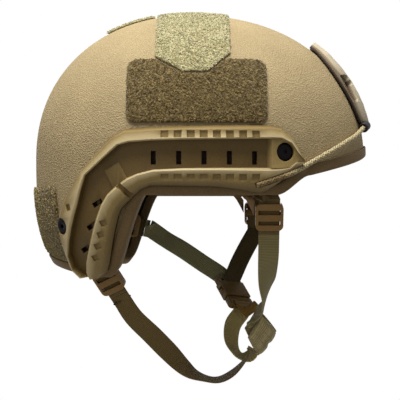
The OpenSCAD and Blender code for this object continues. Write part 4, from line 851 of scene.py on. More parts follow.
def string_cord(name, side):
    """Elastic cord of one side."""
    path = cord_path(side)
    cord, length = tube(name, even_steps(path, 0.45), CORD_D, 24, 5, 6.5, 0.22)
    dress(cord, "helmet", "cords", CORD_BRAID, name.replace("_braid", "_elastic_cord"))
    path = even_steps(path, 4.0)
    return length


CORD_L = np.linalg.norm(np.diff(cord_path(-1), axis=0), axis=1).sum() * MM
# The palest tone of the braid is a painted highlight on its crests.
CORD_BRAID = braided("cord_braid", (96, 82, 52), (176, 160, 116), (210, 196, 156), float(CORD_L))
string_cord("right_braid", -1)
string_cord("left_braid", 1)


# ---- Shell and rim ----
COVER_REACH = 4.5
RIM_STOPS = (0, TEMPLE_TURN, EAR_FRONT, EAR_BACK, FLANK_TURN, 180)


def covered(points):
    """Mask of the shell's points that the rails stand over or around, where the shell is painted with shade."""
    found = np.zeros(len(points))
    rails = {-1: tree_of(nodes["right_rail"].data), 1: tree_of(nodes["left_rail"].data)}
    for i in np.nonzero((np.abs(points[:, 1]) > 40) & (points[:, 2] < 60))[0]:
        n = outward(points[i])
        start, rail = points[i] - n * 2, rails[-1 if points[i][1] < 0 else 1]

        def under(step):
            return rail.ray_cast(Vector((start + step) * MM), Vector(n), 0.02)[0] is not None
        found[i] = any(under(d * COVER_REACH) and under(d * -COVER_REACH) for d in tangents(n))
    return found


def rim_turns(stops, counts):
    """Turns from the front to the rear and round again, with a count for each stretch between the stops."""
    turns = np.concatenate([np.linspace(a, b, n, endpoint=b == 180) for a, b, n in zip(stops, stops[1:], counts)])
    return np.concatenate([turns, 360 - turns[-2:0:-1]])


def make_shell():
    """Shell wall from the crown to the rim, outside and inside, closed under the trim."""
    turns = rim_turns(RIM_STOPS, (28, 18, 30, 34, 34))
    low = tilt_of(rim_z(turns))
    rows = [meridian(turns, 90 + (low - 90) * t) for t in np.linspace(0.012, 1, 80)]
    n, k = len(turns), 2 * len(rows)
    crown = np.array([-WIDE_BACK, 0.0, CROWN_H])
    outer = np.concatenate(rows)
    inner = np.concatenate([lift(row, -WALL) for row in rows[::-1]])
    points = np.concatenate([[crown], outer, inner, [crown - [0, 0, WALL]]])
    last, end = 1 + (k - 1) * n, len(points) - 1
    faces = [(0, 1 + i, 1 + (i + 1) % n) for i in range(n)]
    faces += [(a, d, c, b) for a, b, c, d in grid_faces(n, k, True, 1)]
    faces += [(end, last + (i + 1) % n, last + i) for i in range(n)]
    shell = new_piece("shell_wall", points, faces, 50.0)
    dress(shell, "helmet", "shell", SHELL_PAINT, "shell")
    # Mask of the painted shadow under the rails, on the outer points only.
    values = np.concatenate([[0.0], covered(outer), np.zeros(len(inner) + 1)])
    shell.data.attributes.new("covered", "FLOAT", "POINT").data.foreach_set("value", values)
    shell.data.materials.append(SHELL_INSIDE)
    inside = [int(min(face.vertices) > len(outer)) for face in shell.data.polygons]
    shell.data.polygons.foreach_set("material_index", inside)


def make_trim():
    """Rubber edge trim carried round the rim, with rounded legs."""
    turns = rim_turns((0, EAR_BACK, FLANK_TURN, 180), (110, 40, 50))
    rim = around(turns, rim_z(turns))
    along = unit(np.roll(rim, -1, 0) - np.roll(rim, 1, 0))
    out = outward(rim)
    edge = unit(np.cross(out, along))
    down = np.where(edge[:, 2:3] < 0, edge, -edge)
    gap, leg_in, t, leg = 0.2, -WALL - 0.55, TRIM_T, TRIM_LEG
    section = [
        (gap, gap), (gap, -leg), (gap + t * 0.3, -leg - 0.35), (gap + t * 0.75, -leg - 0.2), (gap + t, -leg + 0.6),
        (gap + t, -leg * 0.5), (gap + t, 0.2), (gap + t * 0.85, 1.1), (gap + t * 0.4, gap + t),
        (leg_in - t * 0.4, gap + t), (leg_in - t * 0.85, 1.1), (leg_in - t, 0.2), (leg_in - t, -leg + 0.6),
        (leg_in - t * 0.75, -leg - 0.2), (leg_in - t * 0.3, -leg - 0.35), (leg_in, -leg), (leg_in, gap)]
    n, k = len(section), len(rim)
    points = np.stack([rim + out * x + down * z for x, z in section], 1).reshape(-1, 3)
    faces = [(j * n + i, j * n + (i + 1) % n, ((j + 1) % k) * n + (i + 1) % n, ((j + 1) % k) * n + i)
             for j in range(k) for i in range(n)]
    trim = new_piece("rim_trim", points, faces, 45.0)
    turn_outwards(trim.data)
    dress(trim, "helmet", "trim", TRIM_RUBBER, "edge_trim")


make_shell()
make_trim()

# ---- Moulded parts that keep the part's form, with rounded edges ----
SIDES = ("right", "left")
POCKET_AT, POCKET_R, POCKET_HALF, POCKET_DEPTHS = (37.5, 80), 3.5, (2.5, 9), (3.0, 22.0)

MOULDED = [(f"{side}_rail", f"{side}_rail_moulding", "helmet", "rail", RAIL_PLASTIC, 0.5) for side in SIDES]
MOULDED += [("mount_plate", "plate_moulding", "helmet", "plate", PLATE_PLASTIC, 0.6)]
MOULDED += [(node, name, "helmet", "nuts", PLAIN_STEEL, 0.3) for node, name in (
    ("front_rail_nuts", "front_nut_flanges"), ("rear_rail_nuts", "rear_nut_flanges"),
    ("mount_nuts", "plate_nut_flanges"))]
MOULDED += [("cord_hooks", "hook_rings", "helmet", "hooks", BLACK_RUBBER, 0.4)]
MOULDED += [(node, name, body, "dial", BLACK_PLASTIC, bevel) for node, name, body, bevel in (
    ("dial_base", "dial_back_half", "helmet", 0.4), ("dial_cover", "dial_front_half", "helmet", 0.5),
    ("dial_pinion", "dial_gear", "dial", 0.1), ("dial_knob", "dial_grip", "dial", 0.4))]
MOULDED += [(f"{side}_band", f"{side}_rack", f"{side}_rack_band", "dial", BLACK_PLASTIC, 0.2) for side in SIDES]
MOULDED += [(f"{side}_{end}_slider", f"{side}_{end}_buckle_bar", f"{end}_{side}_slider", "sliders", SLIDER_PLASTIC, 0.5)
            for end in ("front", "rear") for side in SIDES]
MOULDED += [
    ("buckle_female", "buckle_sleeve", "helmet", "buckle", BUCKLE_PLASTIC, 0.5),
    ("buckle_male", "buckle_tongue", "chin_strap", "buckle", BUCKLE_PLASTIC, 0.5),
    ("buckle_latches", "buckle_prongs", "chin_strap", "buckle", BUCKLE_PLASTIC, 0.3),
    ("mount_gasket", "plate_gasket", "helmet", "gasket", GASKET_RUBBER, 0.2)]


def flank_pocket(side):
    """Cutter for the pocket in a flank of the plate: a rounded block that stands on the shell."""
    p = before(side * POCKET_AT[0], POCKET_AT[1])
    n = outward(p)
    u, v = tangents(n)
    half_u, half_v = POCKET_HALF
    outline = []
    for x, y, first in ((half_u, half_v, 0), (-half_u, half_v, 90), (-half_u, -half_v, 180), (half_u, -half_v, 270)):
        for a in np.radians(first + np.arange(0, 91, 22.5)):
            outline.append(u * (x + POCKET_R * math.cos(a)) + v * (y + POCKET_R * math.sin(a)))
    k = len(outline)
    points = [p + q + n * h for h in POCKET_DEPTHS for q in outline]
    faces = grid_faces(k, 2, True) + [tuple(range(k))[::-1], tuple(range(k, 2 * k))]
    cutter = new_piece("flank_pocket", points, faces)
    turn_outwards(cutter.data)
    return cutter


POCKETS = [flank_pocket(side) for side in (-1, 1)]
for node, name, body, slot_name, material, bevel in MOULDED:
    dress(refined(node, name, bevel, POCKETS if node == "mount_plate" else ()), body, slot_name, material, node)
for cutter in POCKETS:
    drop(cutter)

# ---- Webbing ----
FRONT_SLIDE = np.array([52.5, -92.5, -21.0])
FRONT_DIR = unit([0, 0.3, -1])
REAR_DIR = unit([0.5, 0.26, -0.82])
LEFT_DIR = unit([0.95, 0.2, -0.2])
WEB_WALL = -WALL - SEAT - WEB_T / 2
FLAT_WALL = WEB_WALL - 1.1
REAR_SLIDE = lift(beside(-98, -49), WEB_WALL - 4.6) + REAR_DIR * 34
LEFT_SLIDE = mirrored(lift(beside(-94.6, -28.6), FLAT_WALL)) + LEFT_DIR * 22.8
REAR_WIDE, LEFT_WIDE = [0.78, -0.3, 0.45], [0.08, 0.05, 1]
CUP_HALF, CUP_W, CUP_T = 30.0, 25.0, 5.0
CUP_FRONT, CUP_LOW, CUP_BEND, CUP_RISE = 57, -129.6, 12.5, 17.8
REAR_STRAIGHT = 5.5


def cup_middle(y):
    """Middle line of the chin cup, bent back and up towards its ends."""
    s = (y / CUP_HALF) ** 2
    return np.array([CUP_FRONT - CUP_BEND * s, y, CUP_LOW + CUP_RISE * s])


def cup_across(y):
    return unit([-0.59 + 0.1 * (y / CUP_HALF) ** 2, 0, -0.81])


def cup_along(y):
    return unit(cup_middle(y + 0.5) - cup_middle(y - 0.5))


def cup_out(y):
    return unit(np.cross(cup_across(y), cup_along(y)))


def under_cup(y, d):
    """Place under the cup's lower edge by a distance."""
    return cup_middle(y) + cup_across(y) * (CUP_W / 2 + d)


def row(p, w):
    """Row of a webbing path: a place and the direction of the width there."""
    return [*p, *w]


def run_on(end, direction, wide, rest, straight=3.0):
    """Path that keeps the line of the webbing it carries on."""
    return [row(end, wide), row(end + direction * (straight - 1), wide), row(end + direction * straight, wide)] + rest


CUP_UP = (CUP_W - WEB_W) / 2
RIGHT_CUP_END = cup_middle(-CUP_HALF) - cup_across(-CUP_HALF) * CUP_UP
LEFT_CUP_END = cup_middle(CUP_HALF) - cup_across(CUP_HALF) * CUP_UP

BUCKLE_AT, BUCKLE_DIR = np.array([27.0, 67.0, -86.0]), unit([0.33, -0.76, -0.56])
BUCKLE_UP = np.array([0.86, 0.48, -0.14])
BUCKLE_WIDE = unit(BUCKLE_UP - BUCKLE_DIR * (BUCKLE_UP @ BUCKLE_DIR))
MALE_BAR = 29.7
BAR_OVER = 1.1 + 4 * SEAT + WEB_T / 2


def in_buckle(y, z):
    """Place in the buckle: y along its release, z out of its flat side."""
    return BUCKLE_AT + BUCKLE_DIR * y + np.cross(BUCKLE_WIDE, BUCKLE_DIR) * z


def on_wall(x, z, h, direction):
    """Row of webbing that lies on the right side of the shell's wall."""
    p = lift(beside(x, z), h)
    n = outward(beside(x, z))
    d = np.asarray(direction, float)
    return row(p, unit(d - n * (d @ n)))


def on_left_wall(x, z, h, direction):
    """The same on the left side."""
    there = on_wall(x, z, h, direction)
    return [*mirrored(there[:3]), *mirrored(there[3:])]


right_front_path = run_on(FRONT_SLIDE + FRONT_DIR * 14.3, FRONT_DIR, [1, 0, 0], [
    [52.5, -83, -52, 1, 0.1, 0], [52.5, -69, -70, 0.85, 0.5, 0.1],
    [52.5, -54, -85, 0.35, 0.9, 0.4], [50.5, -42.5, -95.5, 0.2, 0.5, 0.8],
    row(RIGHT_CUP_END - cup_along(-CUP_HALF) * 6, -cup_across(-CUP_HALF)),
    row(RIGHT_CUP_END - cup_along(-CUP_HALF) * 1, -cup_across(-CUP_HALF))])
right_rear_path = run_on(REAR_SLIDE + REAR_DIR * 15.3, REAR_DIR, REAR_WIDE, [
    [-53, -46, -103, 0.76, -0.2, 0.6], [-39, -41, -117.5, 0.78, 0, 0.6],
    [-26, -36, -131.5, 0.75, 0.3, 0.58], [-12, -31, -146, 0.5, 0.75, 0.4],
    [1, -26, -154, 0.1, 1, 0.15], [15, -21, -157.5, -0.1, 1, 0.1],
    [28, -19, -151.5, -0.1, 1, 0.1], row(under_cup(-20, 8), [0.1, 1, -0.1]),
    row(under_cup(-20, 1.2), cup_along(-20))], REAR_STRAIGHT)
left_front_path = run_on(mirrored(FRONT_SLIDE + FRONT_DIR * 14.3), mirrored(FRONT_DIR), [1, 0, 0], [
    [44, 83, -52, 1, 0, -0.1], [37, 79, -65, 1, 0, -0.15], [31, 73.5, -78, 0.95, 0.2, -0.2],
    row(in_buckle(-0.5, 0), BUCKLE_WIDE)])
left_rear_path = run_on(LEFT_SLIDE + LEFT_DIR * 16.3, LEFT_DIR, LEFT_WIDE, [
    [-31, 84, -46, 0.2, 0.3, 1], [-16, 84, -55, 0.4, 0.1, 0.9],
    [2, 80.5, -67, 0.5, 0.1, 0.85], [19.5, 76.5, -78.5, 0.55, 0.1, 0.8],
    row(in_buckle(-1.5, 1.8), BUCKLE_WIDE)], REAR_STRAIGHT)

left_upper_path = [
    row(in_buckle(MALE_BAR - 1.6, -1.2), BUCKLE_WIDE), row(in_buckle(MALE_BAR - 0.8, -BAR_OVER), BUCKLE_WIDE),
    row(in_buckle(MALE_BAR + 4, -BAR_OVER), BUCKLE_WIDE),
    row(LEFT_CUP_END + cup_along(CUP_HALF) * 5, -cup_across(CUP_HALF)),
    row(LEFT_CUP_END + cup_along(CUP_HALF) * 0.2, -cup_across(CUP_HALF))]
left_lower_path = [
    row(in_buckle(MALE_BAR - 1.6, 1.2), BUCKLE_WIDE), row(in_buckle(MALE_BAR - 0.8, BAR_OVER), BUCKLE_WIDE),
    row(in_buckle(MALE_BAR + 5, BAR_OVER), BUCKLE_WIDE), [29, 34, -119, 0.86, 0.45, -0.1],
    [27.5, 25, -133, 0.7, 0.7, -0.1], [33, 18, -142, 0.2, 1, 0.1],
    row(under_cup(14, 8), cup_along(14)), row(under_cup(14, 1.2), cup_along(14))]


def flat_run(at, direction, up, down, wide):
    """Straight webbing through a slider, from a way above it to a way below it."""
    return [row(at + direction * s, wide) for s in (-up, down)]


rear_web_path = [
    on_wall(-104, -18, FLAT_WALL, [1, 0, 0.28]), on_wall(-100, -27, FLAT_WALL, [1, 0, 0.3]),
    on_wall(-99, -38, FLAT_WALL - 0.4, [1, 0, 0.35])] + flat_run(REAR_SLIDE, REAR_DIR, 34, 15, REAR_WIDE)
left_web_path = [on_left_wall(x, z, FLAT_WALL, [-0.3, 0, 1]) for x, z in
                 ((-104.5, -25.5), (-100, -27), (-94.6, -28.6))]
left_web_path += flat_run(LEFT_SLIDE, LEFT_DIR, 18, 16, LEFT_WIDE)

STRAPS = [
    ("right_front_webbing", right_front_path, "right_front_strap", STRAP_WEAVE, "webbing"),
    ("right_rear_webbing", right_rear_path, "right_rear_strap", BROWN_WEAVE, "webbing"),
    # The far side's front strap: its darker webbing is painted shade.
    ("left_front_webbing", left_front_path, "left_front_strap", DARK_SHADE_WEAVE, "webbing"),
    ("left_rear_webbing", left_rear_path, "left_rear_strap", GREY_WEAVE, "webbing"),
    ("left_upper_chin_webbing", left_upper_path, "left_upper_chin_strap", AMBER_WEAVE, "tan_webbing"),
    ("left_lower_chin_webbing", left_lower_path, "left_lower_chin_strap", TAN_WEAVE, "webbing"),
    ("right_rear_anchor", rear_web_path, "right_rear_web", BROWN_WEAVE, "webbing"),
    ("left_rear_anchor", left_web_path, "left_rear_web", DARK_SHADE_WEAVE, "webbing"),
]
for name, path, node, material, slot_name in STRAPS:
    strap = ribbon(name, path)
    if node in ("right_front_strap", "right_rear_strap"):
        strap.data.materials.append(material)
        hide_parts(node)
        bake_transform(strap)
    else:
        dress(strap, "chin_strap" if "chin" in name else "helmet", slot_name, material, node)


# ---- Copies placed by node trees ----
def start_tree(name, *own_inputs):
    """Geometry tree with its inputs, each a title, a kind and perhaps a default."""
    tree = bpy.data.node_groups.new(name, "GeometryNodeTree")
    inputs = (("Geometry", "Geometry"), ("Pattern", "Object"), *own_inputs, ("Finish", "Material"))
    for title, kind, *default in inputs:
        socket = tree.interface.new_socket(name=title, in_out="INPUT", socket_type="NodeSocket" + kind)
        if default:
            socket.default_value = default[0]
    start = tree.nodes.new("NodeGroupInput")
    return tree, start, put(tree, "GeometryNodeObjectInfo", [("Object", start.outputs["Pattern"])])


def end_tree(tree, start, pattern, points, turns, sizes):
    """Real copies of the pattern on the points, with the finish of the tree's input."""
    copies = put(tree, "GeometryNodeInstanceOnPoints", [
        ("Points", points), ("Instance", pattern.outputs["Geometry"]), ("Rotation", turns), ("Scale", sizes)])
    real = put(tree, "GeometryNodeRealizeInstances", [(0, copies.outputs[0])])
    done = put(tree, "GeometryNodeSetMaterial", [("Geometry", real.outputs[0]), ("Material", start.outputs["Finish"])])
    tree.interface.new_socket(name="Geometry", in_out="OUTPUT", socket_type="NodeSocketGeometry")
    put(tree, "NodeGroupOutput", [(0, done.outputs[0])])
    return tree


def make_placed_copies():
    """Tree that sets a pattern on each point, turned by the point's own turn and stretched by its own stretch."""
    tree, start, pattern = start_tree("placed_copies", ("Size", "Float", 1.0))
    turn, stretch = (put(tree, "GeometryNodeInputNamedAttribute", [("Name", name)], data_type="FLOAT_VECTOR")
                     .outputs["Attribute"] for name in ("turn", "stretch"))
    turned = put(tree, "FunctionNodeEulerToRotation", [(0, turn)])
    sized = put(tree, "ShaderNodeVectorMath", [(0, stretch), ("Scale", start.outputs["Size"])], operation="SCALE")
    return end_tree(tree, start, pattern, start.outputs["Geometry"], turned.outputs[0], sized.outputs[0])


def random_number(tree, seed, low=0.0, high=1.0):
    """Random number for each copy; sockets 2 and 3 are the ends of its range."""
    return put(tree, "FunctionNodeRandomValue", [("Seed", seed), (2, low), (3, high)], data_type="FLOAT").outputs[1]


def make_pile_tree():
    """Tree that scatters yarn loops over a cloth face, each with its own turn, size and tone."""
    tree, start, pattern = start_tree(
        "scattered_pile", ("Loops per square metre", "Float", 450000.0), ("Smallest", "Float", 0.7),
        ("Largest", "Float", 1.25), ("Seed", "Int", 4))
    spread = put(tree, "GeometryNodeDistributePointsOnFaces", [
        ("Mesh", start.outputs["Geometry"]), ("Density", start.outputs["Loops per square metre"]),
        ("Seed", start.outputs["Seed"])])
    spin = random_number(tree, start.outputs["Seed"], 0.0, 2 * math.pi)
    lean = random_number(tree, 11, -0.5, 0.5)
    angles = put(tree, "ShaderNodeCombineXYZ", [("X", lean), ("Z", spin)])
    own = put(tree, "FunctionNodeEulerToRotation", [(0, angles.outputs[0])])
    turned = put(tree, "FunctionNodeRotateRotation", [(0, spread.outputs["Rotation"]), (1, own.outputs[0])],
                 rotation_space="LOCAL")
    sized = random_number(tree, 23, start.outputs["Smallest"], start.outputs["Largest"])
    toned = put(tree, "GeometryNodeStoreNamedAttribute", [
        ("Geometry", spread.outputs["Points"]), ("Name", "tone"), ("Value", random_number(tree, 37))],
        data_type="FLOAT", domain="POINT")
    return end_tree(tree, start, pattern, toned.outputs[0], turned.outputs[0], sized)


PLACED_COPIES, PILE_TREE = make_placed_copies(), make_pile_tree()


def carried_out(piece, tree, values):
    """The piece with a node tree carried out on it, its inputs set by their titles."""
    modifier = piece.modifiers.new("made", "NODES")
    modifier.node_group = tree
    sockets = {item.name: item.identifier for item in tree.interface.items_tree if item.in_out == "INPUT"}
    for title, value in values.items():
        modifier[sockets[title]] = value
    return finished_mesh(piece)


def placed(name, spots, pattern, material, body, slot, *replaced):
    """Copies of a pattern at spots, each a place with its x and z directions and its size, in millimetres."""
    turns, stretches = [], []
    for _, x, z, *size in spots:
        z = Vector(unit(z))
        x = Vector(unit(x))
        x = (x - z * x.dot(z)).normalized()
        turns += list(Matrix((x, z.cross(x), z)).transposed().to_euler())
        stretches += [size[0] if size else 1.0] * 3
    mesh = bpy.data.meshes.new(name)
    mesh.from_pydata([tuple(np.asarray(spot[0], float) * MM) for spot in spots], [], [])
    for title, values in (("turn", turns), ("stretch", stretches)):
        mesh.attributes.new(title, "FLOAT_VECTOR", "POINT").data.foreach_set("vector", values)
    piece = shown(name, mesh)
    carried_out(piece, PLACED_COPIES, {"Pattern": pattern, "Size": 1.0, "Finish": material})
    for title in ("turn", "stretch"):
        if title in piece.data.attributes:
            piece.data.attributes.remove(piece.data.attributes[title])
    smooth_faces(piece.data, 40.0)
    return dress(piece, body, slot, material, *replaced)


def turned_pattern(name, profile, sides=32, hex_from=None):
    """Closed round form about z from a profile of radius and height; rings from hex_from on are six-sided."""
    rings = []
    angles = 2 * np.pi * np.arange(sides) / sides
    for k, (r, z) in enumerate(profile):
        radius = np.full(sides, float(r))
        if hex_from is not None and k >= hex_from:
            radius = r * np.cos(np.pi / 6) / np.cos((angles + np.pi / 6) % (np.pi / 3) - np.pi / 6)
        rings.append(np.stack([radius * np.cos(angles), radius * np.sin(angles), np.full(sides, float(z))], -1))
    points = np.concatenate(rings)
    faces = grid_faces(sides, len(rings), True)
    faces.append(tuple(range(sides))[::-1])
    faces.append(tuple((len(rings) - 1) * sides + i for i in range(sides)))
    return new_piece(name, points, faces, 40.0)


def dome(d, h, t0=0.0, low=0.35, steps=6):
    """Profile of a domed head from its edge to its top."""
    turns = np.linspace(0, math.pi / 2, steps)
    return [(d / 2, t0), (d / 2, t0 + h * low)] + [
        (d / 2 * (0.62 + 0.38 * math.cos(a)), t0 + h * low + h * (1 - low) * math.sin(a)) for a in turns[1:]]


# ---- Screws, set by a node tree ----
FRONT_BOLT, REAR_BOLT = (60, 27), (-100, -27)
RAIL_FLOOR, HEAD_D, HEAD_H, BOLT_D = 4.5, 14.4, 3.8, 4.8
GASKET_T = 1.0
PLATE_BASE = GASKET_T + 2 * SEAT
PLATE_TOP = 117.0


def on_shell(point, h):
    """Place over the shell at a height, with its directions up and outward."""
    n = outward(point)
    return point + n * h, tangents(n)[1], n


def make_screws():
    """Bolts of the rails and screws of the plate."""
    socket = [(2.0, 3.8), (1.75, 3.65), (1.7, 2.4)]
    shank = [(BOLT_D / 2, -17.0), (BOLT_D / 2, -0.02)]
    head = turned_pattern("bolt", shank + dome(HEAD_D, HEAD_H) + socket, 40, 9)
    for node, q in (("front_rail_bolts", FRONT_BOLT), ("rear_rail_bolts", REAR_BOLT)):
        spots = [on_shell(beside(*q, side), RAIL_FLOOR + SEAT) for side in (-1, 1)]
        placed(node.replace("rail", "domed"), spots, head, BLACK_STEEL, "helmet", "screws", node)
    drop(head)
    head = turned_pattern("plate_screw", [(1.9, -12.0), (1.9, 0.0)] + dome(7.6, 2.4) + [(1.45, 2.3), (1.4, 1.1)], 28, 9)
    spots = [on_shell(before(y, z), PLATE_BASE + 2 + SEAT) for y, z in ((0, PLATE_TOP - 8), (-24, 66), (24, 66))]
    placed("plate_screw_heads", spots, head, BLACK_STEEL, "helmet", "screws", "mount_screws")
    drop(head)


make_screws()

# ---- Stitches ----
STITCHES = {"helmet": [], "dark": [], "chin_strap": []}


def make_stitch_pattern():
    """One raised stitch along x: a short thread that dips in at both ends."""
    rings, sides = [], 6
    for t in np.linspace(-1, 1, 6):
        r = 0.26 * math.sqrt(max(0.08, 1 - t * t * 0.75))
        centre = np.array([t * 1.05, 0.0, 0.16 * (1 - t * t) - 0.12 * t * t])
        rings.append([centre + [0, r * math.cos(a), r * math.sin(a)] for a in 2 * np.pi * np.arange(sides) / sides])
    faces = grid_faces(sides, len(rings), True)
    faces += [tuple(range(sides))[::-1], tuple(5 * sides + i for i in range(sides))]
    return new_piece("stitch", np.concatenate(rings), faces, 60.0)


def sew(body, line, normals, pitch=2.7, raise_by=0.05, size=1.0):
    """Row of stitches along a line of points, each with its face's direction."""
    rows = even_steps(np.concatenate([np.asarray(line, float), np.asarray(normals, float)], 1), pitch)
    spots, out = rows[:, :3], unit(rows[:, 3:])
    along = np.gradient(spots, axis=0)
    STITCHES[body] += [(p + n * raise_by, d, n, size) for p, d, n in zip(spots, along, out)]


def sew_box(body, path, first, last, w=WEB_W, t=WEB_T, sides=(1, -1)):
    """Box of stitches with a cross on webbing, between two shares of its path."""
    line = even_steps(smooth_path(path, PATH_STEPS), 0.8)
    spots = line[:, :3]
    _, across, out = frames_along(spots, line[:, 3:])
    a, b = int(first * (len(line) - 1)), int(last * (len(line) - 1))
    half = w / 2 - 2.0
    corners = (a, -half), (b, -half), (b, half), (a, half)
    routes = [(corners[i], corners[j]) for i, j in ((0, 1), (1, 2), (2, 3), (3, 0), (0, 2), (3, 1))]
    for side in sides:
        for (k0, x0), (k1, x1) in routes:
            points, normals = [], []
            for f in np.linspace(0, 1, 12):
                k = int(round(k0 + (k1 - k0) * f))
                points.append(spots[k] + across[k] * (x0 + (x1 - x0) * f) + out[k] * side * (t / 2))
                normals.append(out[k] * side)
            sew(body, points, normals, 1.9, 0.05, 0.75)


# ---- Loop panels: cloth laid on the shell, with scattered yarn loops ----
LOOP_BACK, LOOP_FRONT, TOP_BACK, TOP_FRONT = -55.0, 50.0, -34.0, 23.0
CURVE_SEAT, PANEL_HEIGHTS, PILE_DENSITY = 0.5, (1.3, 1.75, 1.95), 460000.0
CROWN_BACK, CROWN_LEN, CROWN_HALF, SMALL_CORNER = -76, 38.5, 27, 5
SIDE_LOW, SIDE_HIGH, PANEL_CORNER, PANEL_GAP = 49.0, 98.0, 7.0, 1.6
REAR_PANEL_TOP, RAIL_REAR, RAIL_GAP = 2, (-104, -37), 5
TOP_EDGE = [(TOP_BACK, 100), (TOP_BACK + 8, 95), (TOP_BACK + 21, 88), (TOP_FRONT - 17, 88), (TOP_FRONT - 7, 97),
            (TOP_FRONT, 103)]


def corner_cut(d, r):
    """Height that a round corner takes off an edge at a distance from its end."""
    return 0.0 if d >= r else r - math.sqrt(max(r * r - (r - d) ** 2, 0))


def lookup(x, table):
    return float(np.interp(x, [q[0] for q in table], [q[1] for q in table]))


def make_loop_pattern():
    """One yarn loop that stands on the cloth."""
    rings, sides = [], 3
    for a in np.linspace(0, math.pi, 5):
        centre = np.array([-0.62 * math.cos(a), 0.12 * math.sin(2 * a), 0.78 * math.sin(a) - 0.1])
        out = np.array([-math.cos(a), 0, math.sin(a)])
        rings.append([centre + 0.17 * (out * math.cos(b) + np.array([0, 1.0, 0]) * math.sin(b))
                      for b in 2 * np.pi * np.arange(sides) / sides])
    return new_piece("yarn_loop", np.concatenate(rings), grid_faces(sides, 5, True) + [(2, 1, 0), (12, 13, 14)], 60.0)


def laid_panel(name, rows, node, cloth, finish):
    """Cloth panel from rows of points on the shell, soft at its edges, with its pile of loops."""
    grid = np.array(rows)
    k, n = grid.shape[:2]
    rim = from_rim(k, n)
    top = lift(grid, np.array(PANEL_HEIGHTS)[np.minimum(rim, 2)]).reshape(-1, 3)
    panel = closed_sheet(name, top, lift(grid, np.full((k, n), CURVE_SEAT)), n)
    pile = new_piece(name + "_pile", top, grid_faces(n, k, False), 60.0)
    turn_outwards(pile.data)
    middle = pile.data.polygons[len(pile.data.polygons) // 2]
    if np.array(middle.normal) @ outward(np.array(middle.center) / MM) < 0:
        pile.data.flip_normals()
    carried_out(pile, PILE_TREE, {"Pattern": YARN_LOOP, "Loops per square metre": PILE_DENSITY, "Seed": len(name),
                                  "Finish": finish})
    dress(panel, "helmet", "loop", cloth, node)
    dress(pile, "helmet", "loop", finish)


LOOP_YARN = yarn("loop_yarn", (96, 80, 42), (160, 142, 90))
WARM_YARN = yarn("warm_yarn", (124, 106, 62), (192, 174, 118))
# Paler yarn for the panels over the top: painted light.
TOP_LIT_YARN = yarn("pale_yarn", (150, 144, 106), (220, 216, 182))
YARN_LOOP = make_loop_pattern()


def side_rows(side):
    """Rows of the side panel, cut to the edge of the panel over the top."""
    rows = []
    ends = np.concatenate([[0, 0.5, 1.5, 3, 5, 7.5], np.linspace(10, 95, 44), [97.5, 100, 102, 103.5, 104.5, 105]])
    for c in ends:
        x = LOOP_BACK + c * (LOOP_FRONT - LOOP_BACK) / 105
        d = min(x - LOOP_BACK, LOOP_FRONT - x)
        low = SIDE_LOW + corner_cut(d, PANEL_CORNER)
        inside_top = x >= TOP_BACK - 4 and x <= TOP_FRONT + 2
        high = min(SIDE_HIGH, lookup(x, TOP_EDGE) - PANEL_GAP) if inside_top else SIDE_HIGH
        high -= corner_cut(d, PANEL_CORNER)
        z = low + (high - low) * np.concatenate([[0, 0.012], np.linspace(0.035, 0.965, 22), [0.988, 1]])
        rows.append(beside(np.full(len(z), x), z, side))
    return rows


def make_loop_panels():
    """Side panels, the panel over the top, the crown panel and the rear panel."""
    for side, name in ((-1, "right"), (1, "left")):
        laid_panel(name + "_loop_cloth", side_rows(side), name + "_loop_panel", LOOP_PILE, LOOP_YARN)
    rows = []
    for t in np.concatenate([[0, 0.008], np.linspace(0.03, 0.97, 26), [0.992, 1]]):
        x = TOP_BACK + (TOP_FRONT - TOP_BACK) * t
        a = arch_angle(x, lookup(x, TOP_EDGE))
        rows.append(arch(x, a + (180 - 2 * a) * np.concatenate([[0, 0.003], np.linspace(0.01, 0.99, 80), [0.997, 1]])))
    # The top and crown panels take the paler pile and yarn, which are painted light.
    laid_panel("top_loop_cloth", rows, "top_loop_panel", TOP_LIT_PILE, TOP_LIT_YARN)
    rows = []
    for x in np.concatenate([[0, 0.4, 1.2, 2.5, 4.2], np.linspace(6, 32.5, 16), [34.3, 36, 37.3, 38.1, 38.5]]):
        half = CROWN_HALF - corner_cut(min(x, CROWN_LEN - x), SMALL_CORNER)
        rows.append(above(CROWN_BACK + x, np.linspace(-half, half, 34)))
    laid_panel("crown_loop_cloth", rows, "crown_loop_panel", TOP_LIT_PILE, TOP_LIT_YARN)
    back = beside(*RAIL_REAR)
    turn_to = math.degrees(math.atan2(-back[1], -(back[0] + WIDE_BACK))) - RAIL_GAP / TAIL * 180 / math.pi
    rows = []
    steps = np.concatenate([[0, 0.006, 0.02, 0.045, 0.08], np.linspace(0.12, 1, 24)])
    for share in np.concatenate([steps, 2 - steps[-2::-1]]):
        turn = 180 + (share - 1) * turn_to
        d = min(share, 2 - share) * math.radians(turn_to) * TAIL
        high = REAR_PANEL_TOP - corner_cut(d, SMALL_CORNER)
        low = float(rim_z(turn)) + TRIM_LEG + 2 + corner_cut(d, SMALL_CORNER)
        rows.append(around(np.full(24, turn), np.linspace(low, high, 24)))
    laid_panel("rear_loop_cloth", rows, "rear_loop_panel", LOOP_PILE, WARM_YARN)


make_loop_panels()
drop(YARN_LOOP)

